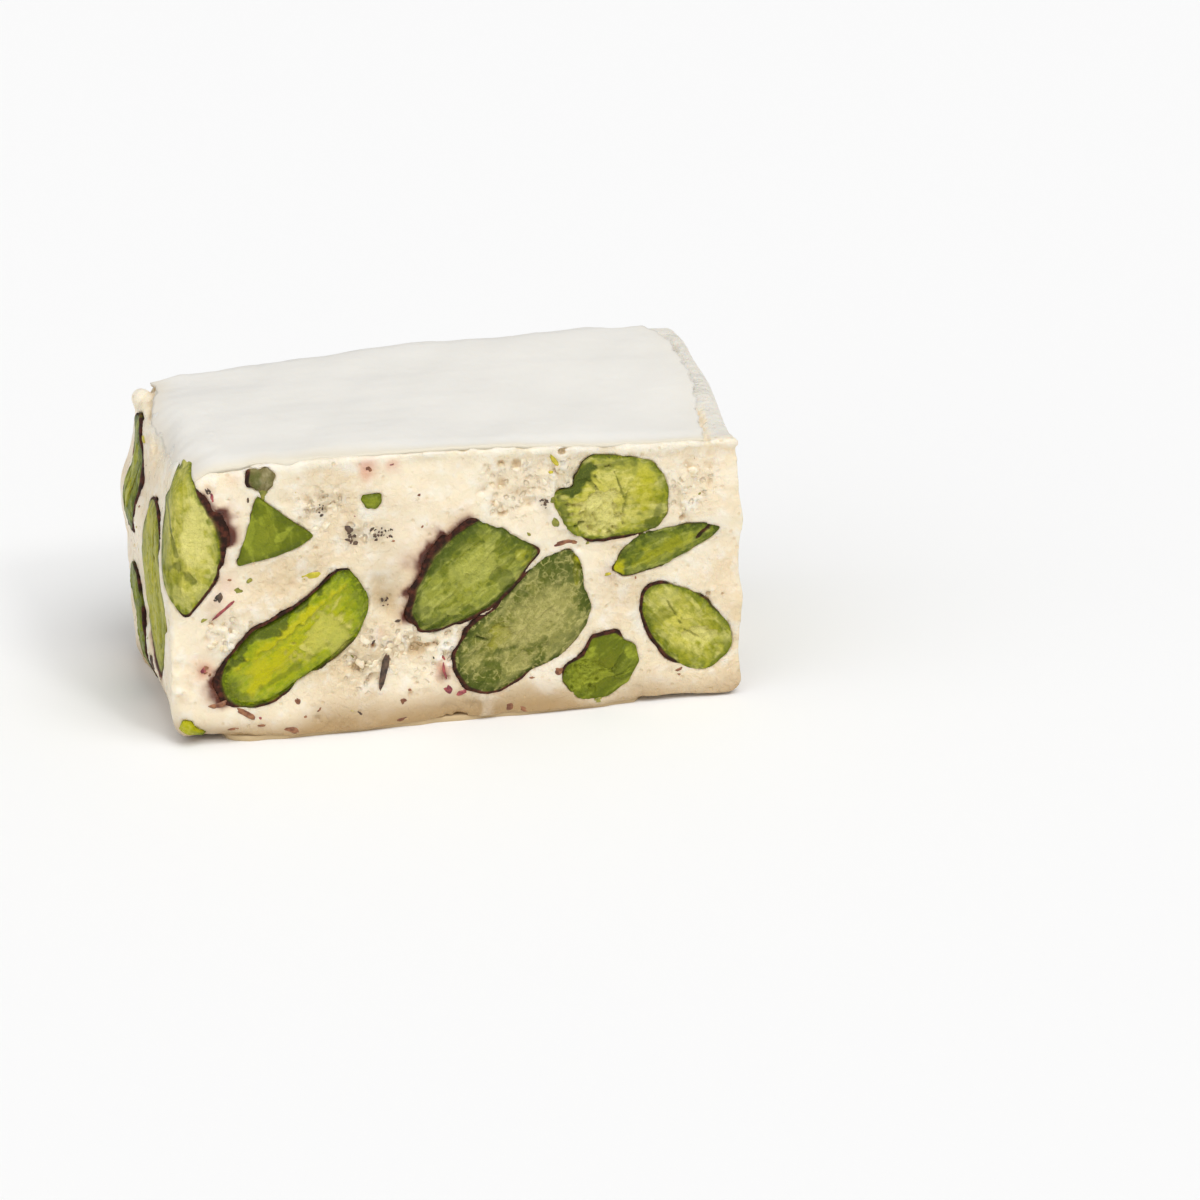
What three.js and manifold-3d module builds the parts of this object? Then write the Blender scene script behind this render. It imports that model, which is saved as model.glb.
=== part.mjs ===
// Pistachio nougat bar: a hand-cut block of white nougat between two sheets of wafer paper.
// The knife went through whole pistachios, so each cut side shows slices of kernels set in the nougat.
// Millimetres, +Z up. The bar's length runs along X, its front is at -Y, and it rests on z = 0.
import * as THREE from "three";
import { mergeVertices } from "three/addons/utils/BufferGeometryUtils.js";
import Module from "manifold-3d";

// ---- driving dimensions -------------------------------------------------------------------------
const LEFT_X = -27.0; // left end of the block
const RIGHT_X = 27.6; // right end
const FRONT_Y = -14.9; // cut front
const BACK_Y = 14.4; // cut back at its fullest
const NOUGAT_TOP = 26; // top of the nougat at the front edge
const WAFER = 0.5; // thickness of one sheet of wafer paper
const SEAT_GAP = 0.06; // air between a sheet and the nougat it lies on
const NUT_GAP = 0.3; // air between a kernel and its pocket
const CROWN = 1.7; // rise of the top towards the back right corner
const FLAP_LOW = 24.2; // lowest point of the upper sheet where it is pressed down over the left end
const EDGE = 0.8; // radius of the knife-cut edges

const wasm = await Module();
wasm.setup();

// ---- the block's outer form ---------------------------------------------------------------------
const smooth = (t) => THREE.MathUtils.smoothstep(t, 0, 1);
const mix = THREE.MathUtils.lerp;

// Gentle unevenness of a soft cut face, about 0.3 mm either way.
function unevenness(x, y, z) {
  const slow = Math.sin(0.31 * x + 0.43 * z + 1.7) * Math.sin(0.37 * y - 0.29 * z + 0.4);
  const quick = Math.sin(0.73 * x - 0.61 * y + 2.1) * Math.sin(0.61 * z + 0.37 * x - 0.9);
  return 0.17 * slow + 0.08 * quick;
}

const topAt = (x, y) =>
  NOUGAT_TOP + CROWN * smooth((y - FRONT_Y) / 29) * (0.75 + 0.25 * smooth((x + 24) / 42));

const frontAt = (z) => FRONT_Y - 0.4 * smooth((7 - z) / 7);

const backAt = (x) => BACK_Y - 2.2 * smooth((4 - x) / 28);

// The left end leans out at mid height, is drawn in along its foot and falls back above.
function leftAt(y, z) {
  const lean = 0.5 * smooth((z - 11) / 5) * smooth((21 - z) / 5) * smooth((y + 4) / 10);
  const foot = 1.5 * smooth((5 - z) / 6) * smooth(1.3 - Math.abs(y + 4) / 9);
  const upper = 0.9 * smooth((z - 17) / 6);
  return LEFT_X - lean + foot + upper;
}

// The right end is drawn back above at the front and swells out at the back.
function rightAt(y, z) {
  const towardsBack = smooth((y + 10) / 16);
  return RIGHT_X - 0.7 * smooth((z - 15) / 12) * (1 - towardsBack) + 1.2 * towardsBack;
}

// Larger of two face distances, with an edge of radius r rounded between them.
function rounded(a, b, r) {
  return Math.min(-r, Math.max(a, b)) + Math.hypot(Math.max(a + r, 0), Math.max(b + r, 0));
}

// Distance outside the block's surface in millimetres, negative inside.
function outside(x, y, z) {
  const ends = Math.max(leftAt(y, z) - x, x - rightAt(y, z));
  const levels = Math.max(z - topAt(x, y), WAFER * 0.4 - z);
  const sides = Math.max(frontAt(z) - y, y - backAt(x));
  const atLeft = smooth((-x - 12) / 8);
  const high = smooth((z - 8) / 8);
  const endEdge = mix(1.5, mix(1.6, 4.6 - 2 * smooth((y + 4) / 12), atLeft), high);
  const lowCorner = 2.2 * smooth((-x - 18) / 6) * smooth((7 - z) / 6);
  const cornerEdge = EDGE + lowCorner + 0.9 * smooth(y / 8) + 1.6 * high * atLeft * smooth((-y - 4) / 6);
  return rounded(rounded(ends, levels, endEdge), sides, cornerEdge) + unevenness(x, y, z);
}

// ---- meshes and solids --------------------------------------------------------------------------
function solidOf(geometry) {
  const plain = geometry.clone();
  plain.deleteAttribute("normal");
  plain.deleteAttribute("uv");
  const merged = mergeVertices(plain, 1e-4);
  return new wasm.Manifold(
    new wasm.Mesh({
      numProp: 3,
      vertProperties: new Float32Array(merged.attributes.position.array),
      triVerts: new Uint32Array(merged.index.array),
    }),
  );
}

function geometryOf(solid) {
  const mesh = solid.getMesh();
  const geometry = new THREE.BufferGeometry();
  geometry.setAttribute("position", new THREE.BufferAttribute(mesh.vertProperties, 3));
  geometry.setIndex(new THREE.BufferAttribute(mesh.triVerts, 1));
  geometry.computeVertexNormals();
  return geometry;
}

function prism(points, from, to) {
  const outline = new THREE.Shape(points);
  const made = new THREE.ExtrudeGeometry(outline, { depth: to - from, bevelEnabled: false });
  made.translate(0, 0, from);
  return solidOf(made);
}

// Farthest point from `core` towards `target` that is still less than `grow` outside the block.
function reach(core, target, grow) {
  let near = 0;
  let far = 1.6;
  const p = new THREE.Vector3();
  for (let step = 0; step < 36; step++) {
    const middle = (near + far) / 2;
    p.copy(core).lerp(target, middle);
    if (outside(p.x, p.y, p.z) < grow) near = middle;
    else far = middle;
  }
  return p.copy(core).lerp(target, near);
}

// The block's surface moved out by `grow`: a box mesh whose vertices slide out from a core onto the form.
const CORE_LOW = new THREE.Vector3(-22.5, -10.5, 4.5);
const CORE_HIGH = new THREE.Vector3(23, 10, 21.5);
const CORE_CELLS = [13, 6, 5];
const EDGE_CELLS = 2; // cells that wrap each edge, beyond the core
const OVERSHOOT = 10;

function spread(share, axis) {
  const cells = CORE_CELLS[axis];
  const step = Math.round(share * (cells + 2 * EDGE_CELLS)) - EDGE_CELLS;
  const low = CORE_LOW.getComponent(axis);
  const high = CORE_HIGH.getComponent(axis);
  if (step < 0) return low + (OVERSHOOT * step) / EDGE_CELLS;
  if (step > cells) return high + (OVERSHOOT * (step - cells)) / EDGE_CELLS;
  return mix(low, high, step / cells);
}

const blocks = new Map();
function block(grow) {
  if (blocks.has(grow)) return blocks.get(grow);
  const box = new THREE.BoxGeometry(1, 1, 1, ...CORE_CELLS.map((c) => c + 2 * EDGE_CELLS));
  const position = box.attributes.position;
  const target = new THREE.Vector3();
  for (let i = 0; i < position.count; i++) {
    target.set(...[0, 1, 2].map((axis) => spread(position.getComponent(i, axis) + 0.5, axis)));
    const p = reach(target.clone().clamp(CORE_LOW, CORE_HIGH), target, grow);
    position.setXYZ(i, p.x, p.y, p.z);
  }
  blocks.set(grow, solidOf(box));
  return blocks.get(grow);
}

// ---- pistachio kernels --------------------------------------------------------------------------
// A cut kernel is a dome with its flat side at the cut face. length and width are those of the cut and
// depth is how far it reaches into the bar. taper widens one end, bend curves the long axis, and blunt is
// the power of the outline: 2 is an ellipse, more is squarer and less is more pointed.
const FACES = {
  front: { along: [1, 0, 0], inward: [0, 1, 0], at: (a, z) => [a, frontAt(z), z] },
  back: { along: [-1, 0, 0], inward: [0, -1, 0], at: (a, z) => [-a, backAt(-a), z] },
  left: { along: [0, -1, 0], inward: [1, 0, 0], at: (a, z) => [leftAt(-a, z), -a, z] },
  right: { along: [0, 1, 0], inward: [-1, 0, 0], at: (a, z) => [rightAt(a, z), a, z] },
};

const STAND_OUT = 3; // how far a kernel's solid stands out of the cut face before it is cut
const KERNEL_SIDES = 14;
const CHIP_SIDES = 8;

// Rings of the dome from outside the cut to near its bottom: [level, share of the cut's size].
const domeRings = (depth) => [[-STAND_OUT, 1.04], [0.42 * depth, 0.93], [0.8 * depth, 0.64]];

function kernelFrame({ face, at, turn, yaw, pitch }) {
  const spec = FACES[face];
  const up = new THREE.Vector3(0, 0, 1);
  const inward = new THREE.Vector3(...spec.inward).applyAxisAngle(up, THREE.MathUtils.degToRad(yaw));
  const along = new THREE.Vector3(...spec.along).applyAxisAngle(up, THREE.MathUtils.degToRad(yaw));
  const tilt = THREE.MathUtils.degToRad(pitch);
  const rise = up.clone().applyAxisAngle(along, tilt);
  inward.applyAxisAngle(along, tilt);
  const angle = THREE.MathUtils.degToRad(turn);
  const long = along.clone().multiplyScalar(Math.cos(angle)).addScaledVector(rise, Math.sin(angle));
  const across = along.clone().multiplyScalar(-Math.sin(angle)).addScaledVector(rise, Math.cos(angle));
  return { long, across, inward, centre: new THREE.Vector3(...spec.at(...at)) };
}

function kernelSolid(nut, grow) {
  const { long, across, inward, centre } = kernelFrame(nut);
  const sides = nut.length < 5 ? CHIP_SIDES : KERNEL_SIDES;
  const depth = nut.depth + grow;
  const rings = domeRings(depth);
  const points = [];
  for (const [level, size] of rings) {
    for (let i = 0; i < sides; i++) {
      const angle = (2 * Math.PI * (i + 0.5)) / sides;
      const power = 2 / nut.blunt;
      const s = Math.sign(Math.cos(angle)) * Math.abs(Math.cos(angle)) ** power;
      const t = Math.sign(Math.sin(angle)) * Math.abs(Math.sin(angle)) ** power;
      const v = t * (nut.width / 2 + grow) * size * (1 + nut.taper * s) + nut.bend * (1 - s * s);
      const u = s * (nut.length / 2 + grow) * size;
      const p = centre.clone().addScaledVector(long, u).addScaledVector(across, v);
      points.push(...p.addScaledVector(inward, level));
    }
  }
  points.push(...centre.clone().addScaledVector(inward, depth));
  points.push(...centre.clone().addScaledVector(inward, -STAND_OUT));
  const last = (rings.length - 1) * sides;
  const apex = rings.length * sides;
  const faces = [];
  for (let i = 0; i < sides; i++) {
    const next = (i + 1) % sides;
    for (let a = 0; a < last; a += sides) {
      const b = a + sides;
      faces.push(a + i, b + i, b + next, a + i, b + next, a + next);
    }
    faces.push(last + next, last + i, apex);
    faces.push(i, next, apex + 1);
  }
  const geometry = new THREE.BufferGeometry();
  geometry.setAttribute("position", new THREE.Float32BufferAttribute(points, 3));
  geometry.setIndex(faces);
  return solidOf(geometry);
}

// at is [distance along the face to the right, height] as seen from outside; turn is anticlockwise.
// yaw and pitch turn the cut away from the face, for a kernel on a rounded edge. proud is how far the cut
// stands out of the face.
const kernel = (name, face, at, turn, length, width, more = {}) => ({
  name, face, at, turn, length, width,
  depth: 3.4, taper: 0, bend: 0, blunt: 2.2, yaw: 0, pitch: 0, proud: 0, ...more,
});

const NUTS = [
  kernel("nut_front_corner", "front", [-24.4, 20.8], 90, 16.2, 6.3, { depth: 3, blunt: 1.7, yaw: -26, pitch: -8 }),
  kernel("nut_front_wedge", "front", [-17.8, 20.9], 112, 6.8, 6.2, { depth: 2.6, taper: -0.75, blunt: 2.1 }),
  kernel("nut_front_long", "front", [-15.5, 9.7], 39, 16.8, 6.4, { bend: -0.3, blunt: 2.8, proud: 0.35 }),
  kernel("nut_front_middle", "front", [1.6, 14.8], 37, 12.8, 7.2, { taper: 0.14, bend: 0.2, blunt: 2.4 }),
  kernel("nut_front_large", "front", [6.6, 8.9], 45, 16.2, 7.6, { depth: 3.6, taper: 0.05, blunt: 2.6 }),
  kernel("nut_front_top", "front", [14.8, 20.9], -8, 11, 8, { taper: 0.12, blunt: 2.8 }),
  kernel("nut_front_sliver", "front", [20.2, 15.6], 24, 10.2, 3.4, { depth: 2.6, blunt: 1.9 }),
  kernel("nut_front_low", "front", [13.4, 4], 30, 7.6, 5.6, { depth: 2.8, taper: 0.1 }),
  kernel("nut_front_right", "front", [22, 7.6], -48, 10.6, 6, { taper: 0.2 }),
  kernel("nut_left_tall", "left", [6.9, 12.9], 103, 15.8, 8.2, { depth: 3, taper: 0.1, blunt: 2, yaw: 8 }),
  kernel("nut_left_low", "left", [-2.8, 6.2], 140, 12.2, 5.2, { depth: 2.8, blunt: 2, proud: 0.2 }),
  kernel("nut_left_high", "left", [-6.2, 20.6], 84, 10.4, 6, { depth: 2.8, taper: -0.1, proud: 0.1 }),
  kernel("nut_right_front", "right", [-8, 19.4], 24, 12.2, 7, { depth: 2.8, taper: 0.15 }),
  kernel("nut_right_middle", "right", [0.8, 11.4], 58, 13.4, 7, { bend: 0.5 }),
  kernel("nut_right_low", "right", [-7.8, 6], -14, 9.6, 6.2, { depth: 2.8, taper: -0.2 }),
  kernel("nut_right_back", "right", [8, 20.2], -34, 10.4, 6.6, { depth: 2.8, blunt: 2.5 }),
  kernel("nut_right_end", "right", [8.8, 6], 8, 8.8, 6.2, { depth: 2.8, taper: 0.25 }),
  kernel("nut_back_1", "back", [-19.6, 18.6], 62, 12.6, 7, { taper: 0.12 }),
  kernel("nut_back_2", "back", [-16.6, 6.6], 18, 13.4, 6.6, { blunt: 2.5 }),
  kernel("nut_back_3", "back", [-9, 16.6], -34, 14.2, 7.2, { bend: 0.4 }),
  kernel("nut_back_4", "back", [-4, 5.6], 10, 9.2, 6, { depth: 2.8, taper: 0.3 }),
  kernel("nut_back_5", "back", [1.6, 19.6], 26, 11.8, 7.4, { blunt: 2.4 }),
  kernel("nut_back_6", "back", [6.2, 9.4], 68, 14.4, 6.4, { taper: -0.12, proud: 0.25 }),
  kernel("nut_back_7", "back", [12.8, 18.8], -20, 10.4, 7.2, { depth: 3, taper: 0.2 }),
  kernel("nut_back_8", "back", [15.6, 6.4], -40, 12.2, 6.2, { bend: -0.4 }),
  kernel("nut_back_9", "back", [20.6, 15], 78, 11, 5.2, { depth: 2.6 }),
];

// Bits of kernel large enough to pick out, with the same fields as the kernels.
const CHIPS = [
  kernel("chip_front", "front", [-7.9, 22.6], -8, 2.2, 1.8, { depth: 1.2 }),
  kernel("chip_top_edge", "front", [-17.9, 25.3], 90, 1.9, 2.3, { depth: 1.2 }),
  kernel("chip_corner", "front", [-25.4, 2.1], -20, 3.4, 1.9, { depth: 1.8, yaw: -40, proud: 0.4 }),
];

// ---- the pieces ---------------------------------------------------------------------------------
const FINISH = {
  nougat: new THREE.MeshStandardMaterial({ color: 0xe9dfcd, roughness: 0.55, metalness: 0 }),
  kernel: new THREE.MeshStandardMaterial({ color: 0x7d9a2c, roughness: 0.6, metalness: 0 }),
  wafer: new THREE.MeshStandardMaterial({ color: 0xeceae6, roughness: 0.75, metalness: 0 }),
};

// The block's plan outline at height z, moved out by `grow`.
function planOutline(z, grow, count) {
  const points = [];
  for (let i = 0; i < count; i++) {
    const angle = (2 * Math.PI * i) / count;
    const core = new THREE.Vector3(22 * Math.cos(angle), 9 * Math.sin(angle), z);
    const aim = new THREE.Vector3(44 * Math.cos(angle), 26 * Math.sin(angle), z);
    const p = reach(core, aim, grow);
    points.push(new THREE.Vector2(p.x, p.y));
  }
  return points;
}

// A small roll of nougat squeezed out at the back left top corner.
function cornerNub(grow) {
  const nub = new THREE.IcosahedronGeometry(1, 1);
  nub.scale(1.5 + grow, 1.7 + grow, 1.2 + grow);
  nub.rotateZ(0.5);
  nub.translate(-24.6, 10.9, 25.3);
  return solidOf(nub);
}

// All space above the upper sheet's lower edge: level with the top at the front, lower over the left end.
function aboveSheetEdge() {
  const curtain = new THREE.BoxGeometry(70, 44, 10, 14, 2, 1);
  curtain.translate(0, 0, NOUGAT_TOP + 5 - 0.2);
  const position = curtain.attributes.position;
  for (let i = 0; i < position.count; i++) {
    if (position.getZ(i) > NOUGAT_TOP + 1) continue;
    const drop = (NOUGAT_TOP - FLAP_LOW) * smooth((-21 - position.getX(i)) / 4);
    position.setZ(i, position.getZ(i) - drop * (1 - 0.5 * smooth((position.getY(i) + 15) / 26)));
  }
  return solidOf(curtain);
}

// The upper sheet stops short of the right end and of the nub at the back left.
function upperSheet() {
  const left = (y) => LEFT_X + 0.6 + 2.2 * smooth((y - 4) / 8);
  const right = (y) => RIGHT_X - 1.2 - 2.6 * smooth((2 - y) / 18) - 1.6 * smooth((y - 8) / 6);
  const trim = ({ x, y }) => new THREE.Vector2(THREE.MathUtils.clamp(x, left(y), right(y)), y);
  const outline = planOutline(19, 0.05, 44).map(trim);
  return block(SEAT_GAP + WAFER)
    .subtract(block(SEAT_GAP))
    .intersect(prism(outline, 15, 35))
    .intersect(aboveSheetEdge())
    .subtract(pockets.add(cornerNub(SEAT_GAP)));
}

function piece(name, solid, finish) {
  const mesh = new THREE.Mesh(geometryOf(solid), finish);
  mesh.name = name;
  return mesh;
}

function group(name, ...members) {
  const made = new THREE.Group();
  made.name = name;
  made.add(...members);
  return made;
}

const bits = [...NUTS, ...CHIPS];
const pockets = wasm.Manifold.union(bits.map((nut) => kernelSolid(nut, NUT_GAP)));
const slab = [[-40, -30], [40, -30], [40, 30], [-40, 30]].map(([x, y]) => new THREE.Vector2(x, y));
const aboveLowerSheet = prism(slab, WAFER + SEAT_GAP, 40);
const nougat = block(0).add(cornerNub(0)).intersect(aboveLowerSheet).subtract(pockets);
const cutKernel = (nut) => kernelSolid(nut, 0).intersect(block(nut.proud)).intersect(aboveLowerSheet);

const bar = group(
  "nougat_bar",
  piece("nougat", nougat, FINISH.nougat),
  group("kernels", ...bits.map((nut) => piece(nut.name, cutKernel(nut), FINISH.kernel))),
  group(
    "wafer_sheets",
    piece("wafer_top", upperSheet(), FINISH.wafer),
    piece("wafer_bottom", prism(planOutline(0.9, 0, 40), 0, WAFER), FINISH.wafer),
  ),
);

// The bar's box is centred over the origin.
const middle = new THREE.Box3().setFromObject(bar).getCenter(new THREE.Vector3());
bar.traverse((node) => node.geometry?.translate(-middle.x, -middle.y, 0));

export default bar;
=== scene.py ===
"""Pistachio nougat bar: the soft cream block, the sliced kernels in it and its two wafer sheets.

Shapes are worked out in millimetres in the block's own drawing frame and moved to the row frame in metres.
"""

import logging
import math
from dataclasses import dataclass, field
from enum import Enum
from functools import cached_property

import bmesh
import bpy
import numpy as np
import openvdb
from mathutils import Matrix, Vector


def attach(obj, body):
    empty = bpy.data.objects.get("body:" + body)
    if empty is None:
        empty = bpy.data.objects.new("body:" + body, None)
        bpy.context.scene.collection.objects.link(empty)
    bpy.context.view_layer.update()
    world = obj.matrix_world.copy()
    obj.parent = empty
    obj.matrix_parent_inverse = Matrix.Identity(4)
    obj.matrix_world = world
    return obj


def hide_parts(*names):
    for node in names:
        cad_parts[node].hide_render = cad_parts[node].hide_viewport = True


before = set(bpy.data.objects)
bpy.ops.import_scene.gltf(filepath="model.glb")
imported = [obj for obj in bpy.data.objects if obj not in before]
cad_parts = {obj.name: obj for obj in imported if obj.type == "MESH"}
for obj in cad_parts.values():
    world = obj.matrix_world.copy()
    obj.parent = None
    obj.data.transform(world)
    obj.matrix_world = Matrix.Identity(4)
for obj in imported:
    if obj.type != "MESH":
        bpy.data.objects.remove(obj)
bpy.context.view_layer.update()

LOG = logging.getLogger("nougat_bar")
MM = 0.001
ROW_SHIFT = np.array([-0.76368, 0.41220, 0.0])  # the drawing frame's origin in the row frame, mm
BODY = "root"
UP = np.array([0, 0, 1.0])
Array = np.ndarray
Pair = tuple[float, float]
Triple = tuple[float, float, float]


# ---- helpers ----
def smooth(t: Array | float) -> Array:
    """Smooth step from 0 at t = 0 to 1 at t = 1."""
    t = np.clip(t, 0.0, 1.0)
    return t * t * (3.0 - 2.0 * t)


def bell(t: Array | float) -> Array:
    """1 at t = 0, falling to nearly nothing at t = 2 on both sides."""
    return np.exp(-(t**2))


def mix(a: Array | float, b: Array | float, t: Array | float) -> Array:
    """Goes from a at t = 0 to b at t = 1."""
    return a + (b - a) * t


def powered(t: Array, power: float) -> Array:
    """t to a power, with its sign kept."""
    return np.sign(t) * np.abs(t) ** power


def rounded(a: Array, b: Array, r: Array | float) -> Array:
    """Larger of two face distances with an edge of radius r between them."""
    corner = np.hypot(np.maximum(a + r, 0), np.maximum(b + r, 0))
    return np.minimum(-r, np.maximum(a, b)) + corner


def unit(v: Array) -> Array:
    """The vectors in v at length 1."""
    return v / np.linalg.norm(v, axis=-1, keepdims=True)


def away(points: Array, centre: Array | Triple) -> Array:
    """Distance of each point from a centre."""
    return np.linalg.norm(points - np.array(centre), axis=1)


def turned(v: Array, axis: Array, degrees: float) -> Array:
    """v turned about axis by an angle in degrees."""
    return np.array(Matrix.Rotation(math.radians(degrees), 3, Vector(axis)) @ Vector(v))


def bearing(degrees: float) -> Pair:
    """Cosine and sine of an angle in degrees."""
    return math.cos(math.radians(degrees)), math.sin(math.radians(degrees))


def each(kind: type, *values: tuple) -> tuple:
    """Objects of one kind, one from each row of values."""
    return tuple(kind(*row) for row in values)


def tube(rings: int, around: int) -> list[list[int]]:
    """Faces over rings of points that follow one another, closed by the two points after the last ring.

    Args:
        rings: how many rings.
        around: points in each ring.

    Returns:
        The faces.
    """
    pairs = [(i, (i + 1) % around) for i in range(around)]
    hub, last = rings * around, (rings - 1) * around
    faces = [[a + i, a + around + i, a + around + k, a + k] for a in range(0, last, around) for i, k in pairs]
    faces += [[i, k, hub] for i, k in pairs]
    return faces + [[last + k, last + i, hub + 1] for i, k in pairs]


class Noise:
    """Smooth random field on a repeating lattice, about -1 to 1."""

    SIDE = 32

    def __init__(self, seed: int) -> None:
        """Draws the lattice.

        Args:
            seed: the draw's seed, so that each run gives the same field.
        """
        self.lattice = np.random.default_rng(seed).uniform(-1, 1, (self.SIDE,) * 3).astype(np.float32)

    def at(self, points: Array, wave: float) -> Array:
        """Value at each point.

        Args:
            points: n x 3 places in mm.
            wave: spacing of the lattice in mm.

        Returns:
            One value a point, about -1 to 1.
        """
        q = points.astype(np.float32) / np.float32(wave) + 11.37
        cell = np.floor(q).astype(np.int32)
        f = q - cell
        f = f * f * (3 - 2 * f)
        low, high = cell % self.SIDE, (cell + 1) % self.SIDE
        total = np.zeros(len(q), np.float32)
        for corner in range(8):
            pick = [(high if corner >> k & 1 else low)[:, k] for k in range(3)]
            weight = np.ones(len(q), np.float32)
            for k in range(3):
                weight *= f[:, k] if corner >> k & 1 else 1 - f[:, k]
            total += weight * self.lattice[pick[0], pick[1], pick[2]]
        return total * 1.3


GRAIN, RAG = Noise(11), Noise(23)


# ---- the block's form ----
class Side(Enum):
    """A cut side of the block: the direction to the right seen from outside, and the one inward."""

    FRONT = ((1, 0, 0), (0, 1, 0))
    BACK = ((-1, 0, 0), (0, -1, 0))
    LEFT = ((0, -1, 0), (1, 0, 0))
    RIGHT = ((0, 1, 0), (-1, 0, 0))

    @property
    def along(self) -> Array:
        """Direction to the right, seen from outside."""
        return np.array(self.value[0], float)

    @property
    def inward(self) -> Array:
        """Direction into the block."""
        return np.array(self.value[1], float)


@dataclass(frozen=True)
class BlockForm:
    """Outer form of the hand-cut block, close to the solid's. All in mm."""

    left_x: float = -27.0
    right_x: float = 27.6
    front_y: float = -14.9
    back_y: float = 14.4
    top_z: float = 26.0
    front_left_top: float = 27.1
    front_right_top: float = 25.7
    wafer: float = 0.5
    crown: float = 1.7  # how far the top rises towards the back
    edge: float = 0.3  # knife-cut edges are crisper than the solid's

    def uneven(self, x: Array, y: Array, z: Array) -> Array:
        """Gentle unevenness of a soft cut face."""
        slow = np.sin(0.31 * x + 0.43 * z + 1.7) * np.sin(0.37 * y - 0.29 * z + 0.4)
        quick = np.sin(0.73 * x - 0.61 * y + 2.1) * np.sin(0.61 * z + 0.37 * x - 0.9)
        return 0.17 * slow + 0.08 * quick

    def top_at(self, x: Array, y: Array) -> Array:
        """Height of the top, which slopes down to the right at the front and up to the right at the back."""
        front = mix(self.front_left_top, self.front_right_top, smooth((x + 6) / 30))
        back = self.top_z + self.crown * (0.75 + 0.25 * smooth((x + 24) / 42))
        return mix(front, back, smooth((y - self.front_y) / 29))

    def front_at(self, z: Array) -> Array:
        """Front face's y."""
        return self.front_y - 0.4 * smooth((7 - z) / 7)

    def back_at(self, x: Array) -> Array:
        """Back face's y."""
        return self.back_y - 2.2 * smooth((4 - x) / 28)

    def left_at(self, y: Array, z: Array) -> Array:
        """Left end's x: it leans out at mid height, is drawn in at the foot and falls back above."""
        lean = 0.5 * smooth((z - 11) / 5) * smooth((21 - z) / 5) * smooth((y + 4) / 10)
        foot = 1.5 * smooth((5 - z) / 6) * smooth(1.3 - np.abs(y + 4) / 9)
        return self.left_x - lean + foot + 0.9 * smooth((z - 17) / 6)

    def right_at(self, y: Array, z: Array) -> Array:
        """Right end's x: drawn back above at the front, swollen at the back."""
        back = smooth((y + 13) / 17)
        swell = 1.2 - 0.5 * smooth((z - 20) / 6)
        return self.right_x - 0.4 * smooth((z - 17) / 8) * (1 - back) + swell * back

    def outside(self, x: Array, y: Array, z: Array) -> Array:
        """Distance outside the surface, negative inside."""
        ends = np.maximum(self.left_at(y, z) - x, x - self.right_at(y, z))
        levels = np.maximum(z - self.top_at(x, y), self.wafer * 0.4 - z)
        sides = np.maximum(self.front_at(z) - y, y - self.back_at(x))
        at_left = smooth((-x - 12) / 8)
        high = smooth((z - 8) / 8)
        end_edge = mix(1.5, mix(0.9, 4.6 - 2 * smooth((y + 4) / 12), at_left), high)
        low_corner = 2.8 * smooth((-x - 18) / 6) * smooth((7 - z) / 6)
        back_right = smooth((x - 19) / 5) * smooth((y - 4) / 6) * smooth((z - 18) / 6)
        back_corner = 0.9 * smooth(y / 8) + 0.8 * at_left * smooth(y / 6) + 1.2 * back_right
        corner = self.edge + low_corner + back_corner + 1.6 * high * at_left * smooth((-y - 4) / 6)
        return rounded(rounded(ends, levels, end_edge), sides, corner) + self.uneven(x, y, z)

    def outside_of(self, p: Array) -> Array:
        """outside() for an n x 3 array."""
        return self.outside(p[:, 0], p[:, 1], p[:, 2])

    def on(self, side: Side, a: float, z: float) -> Array:
        """Point of a side at distance a along it and height z."""
        if side is Side.FRONT:
            return np.array([a, self.front_at(z), z], float)
        if side is Side.BACK:
            return np.array([-a, self.back_at(-a), z], float)
        if side is Side.LEFT:
            return np.array([self.left_at(-a, z), -a, z], float)
        return np.array([self.right_at(a, z), a, z], float)

    def settle(self, points: Array, inward: Array, level: Array | float, reach: float = 4.0) -> Array:
        """Slides points along a direction onto the surface moved out by `level`.

        Args:
            points: n x 3 places in mm.
            inward: direction of the slide, into the block; one, or one a point.
            level: distance outside the surface to stop at.
            reach: longest slide in mm; what is still off the surface then takes the shortest way to it.

        Returns:
            The points on that surface.
        """
        inward = np.broadcast_to(inward, points.shape)
        slide = np.zeros(len(points))
        for _ in range(24):
            gap = np.clip(self.outside_of(points + inward * slide[:, None]) - level, -3, 3)
            slide = np.clip(slide + 0.85 * gap, -reach, reach)
        p = points + inward * slide[:, None]
        for _ in range(5):
            gap = self.outside_of(p) - level
            off = np.abs(gap) > 0.004
            if not off.any():
                break
            p[off] -= self.normal(p[off]) * gap[off][:, None]
        return p

    def normal(self, points: Array) -> Array:
        """Outward direction of the surface near each point."""
        steps = 0.05 * np.eye(3)
        return unit(np.stack([self.outside_of(points + d) - self.outside_of(points - d) for d in steps], -1))


FORM = BlockForm()


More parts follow.
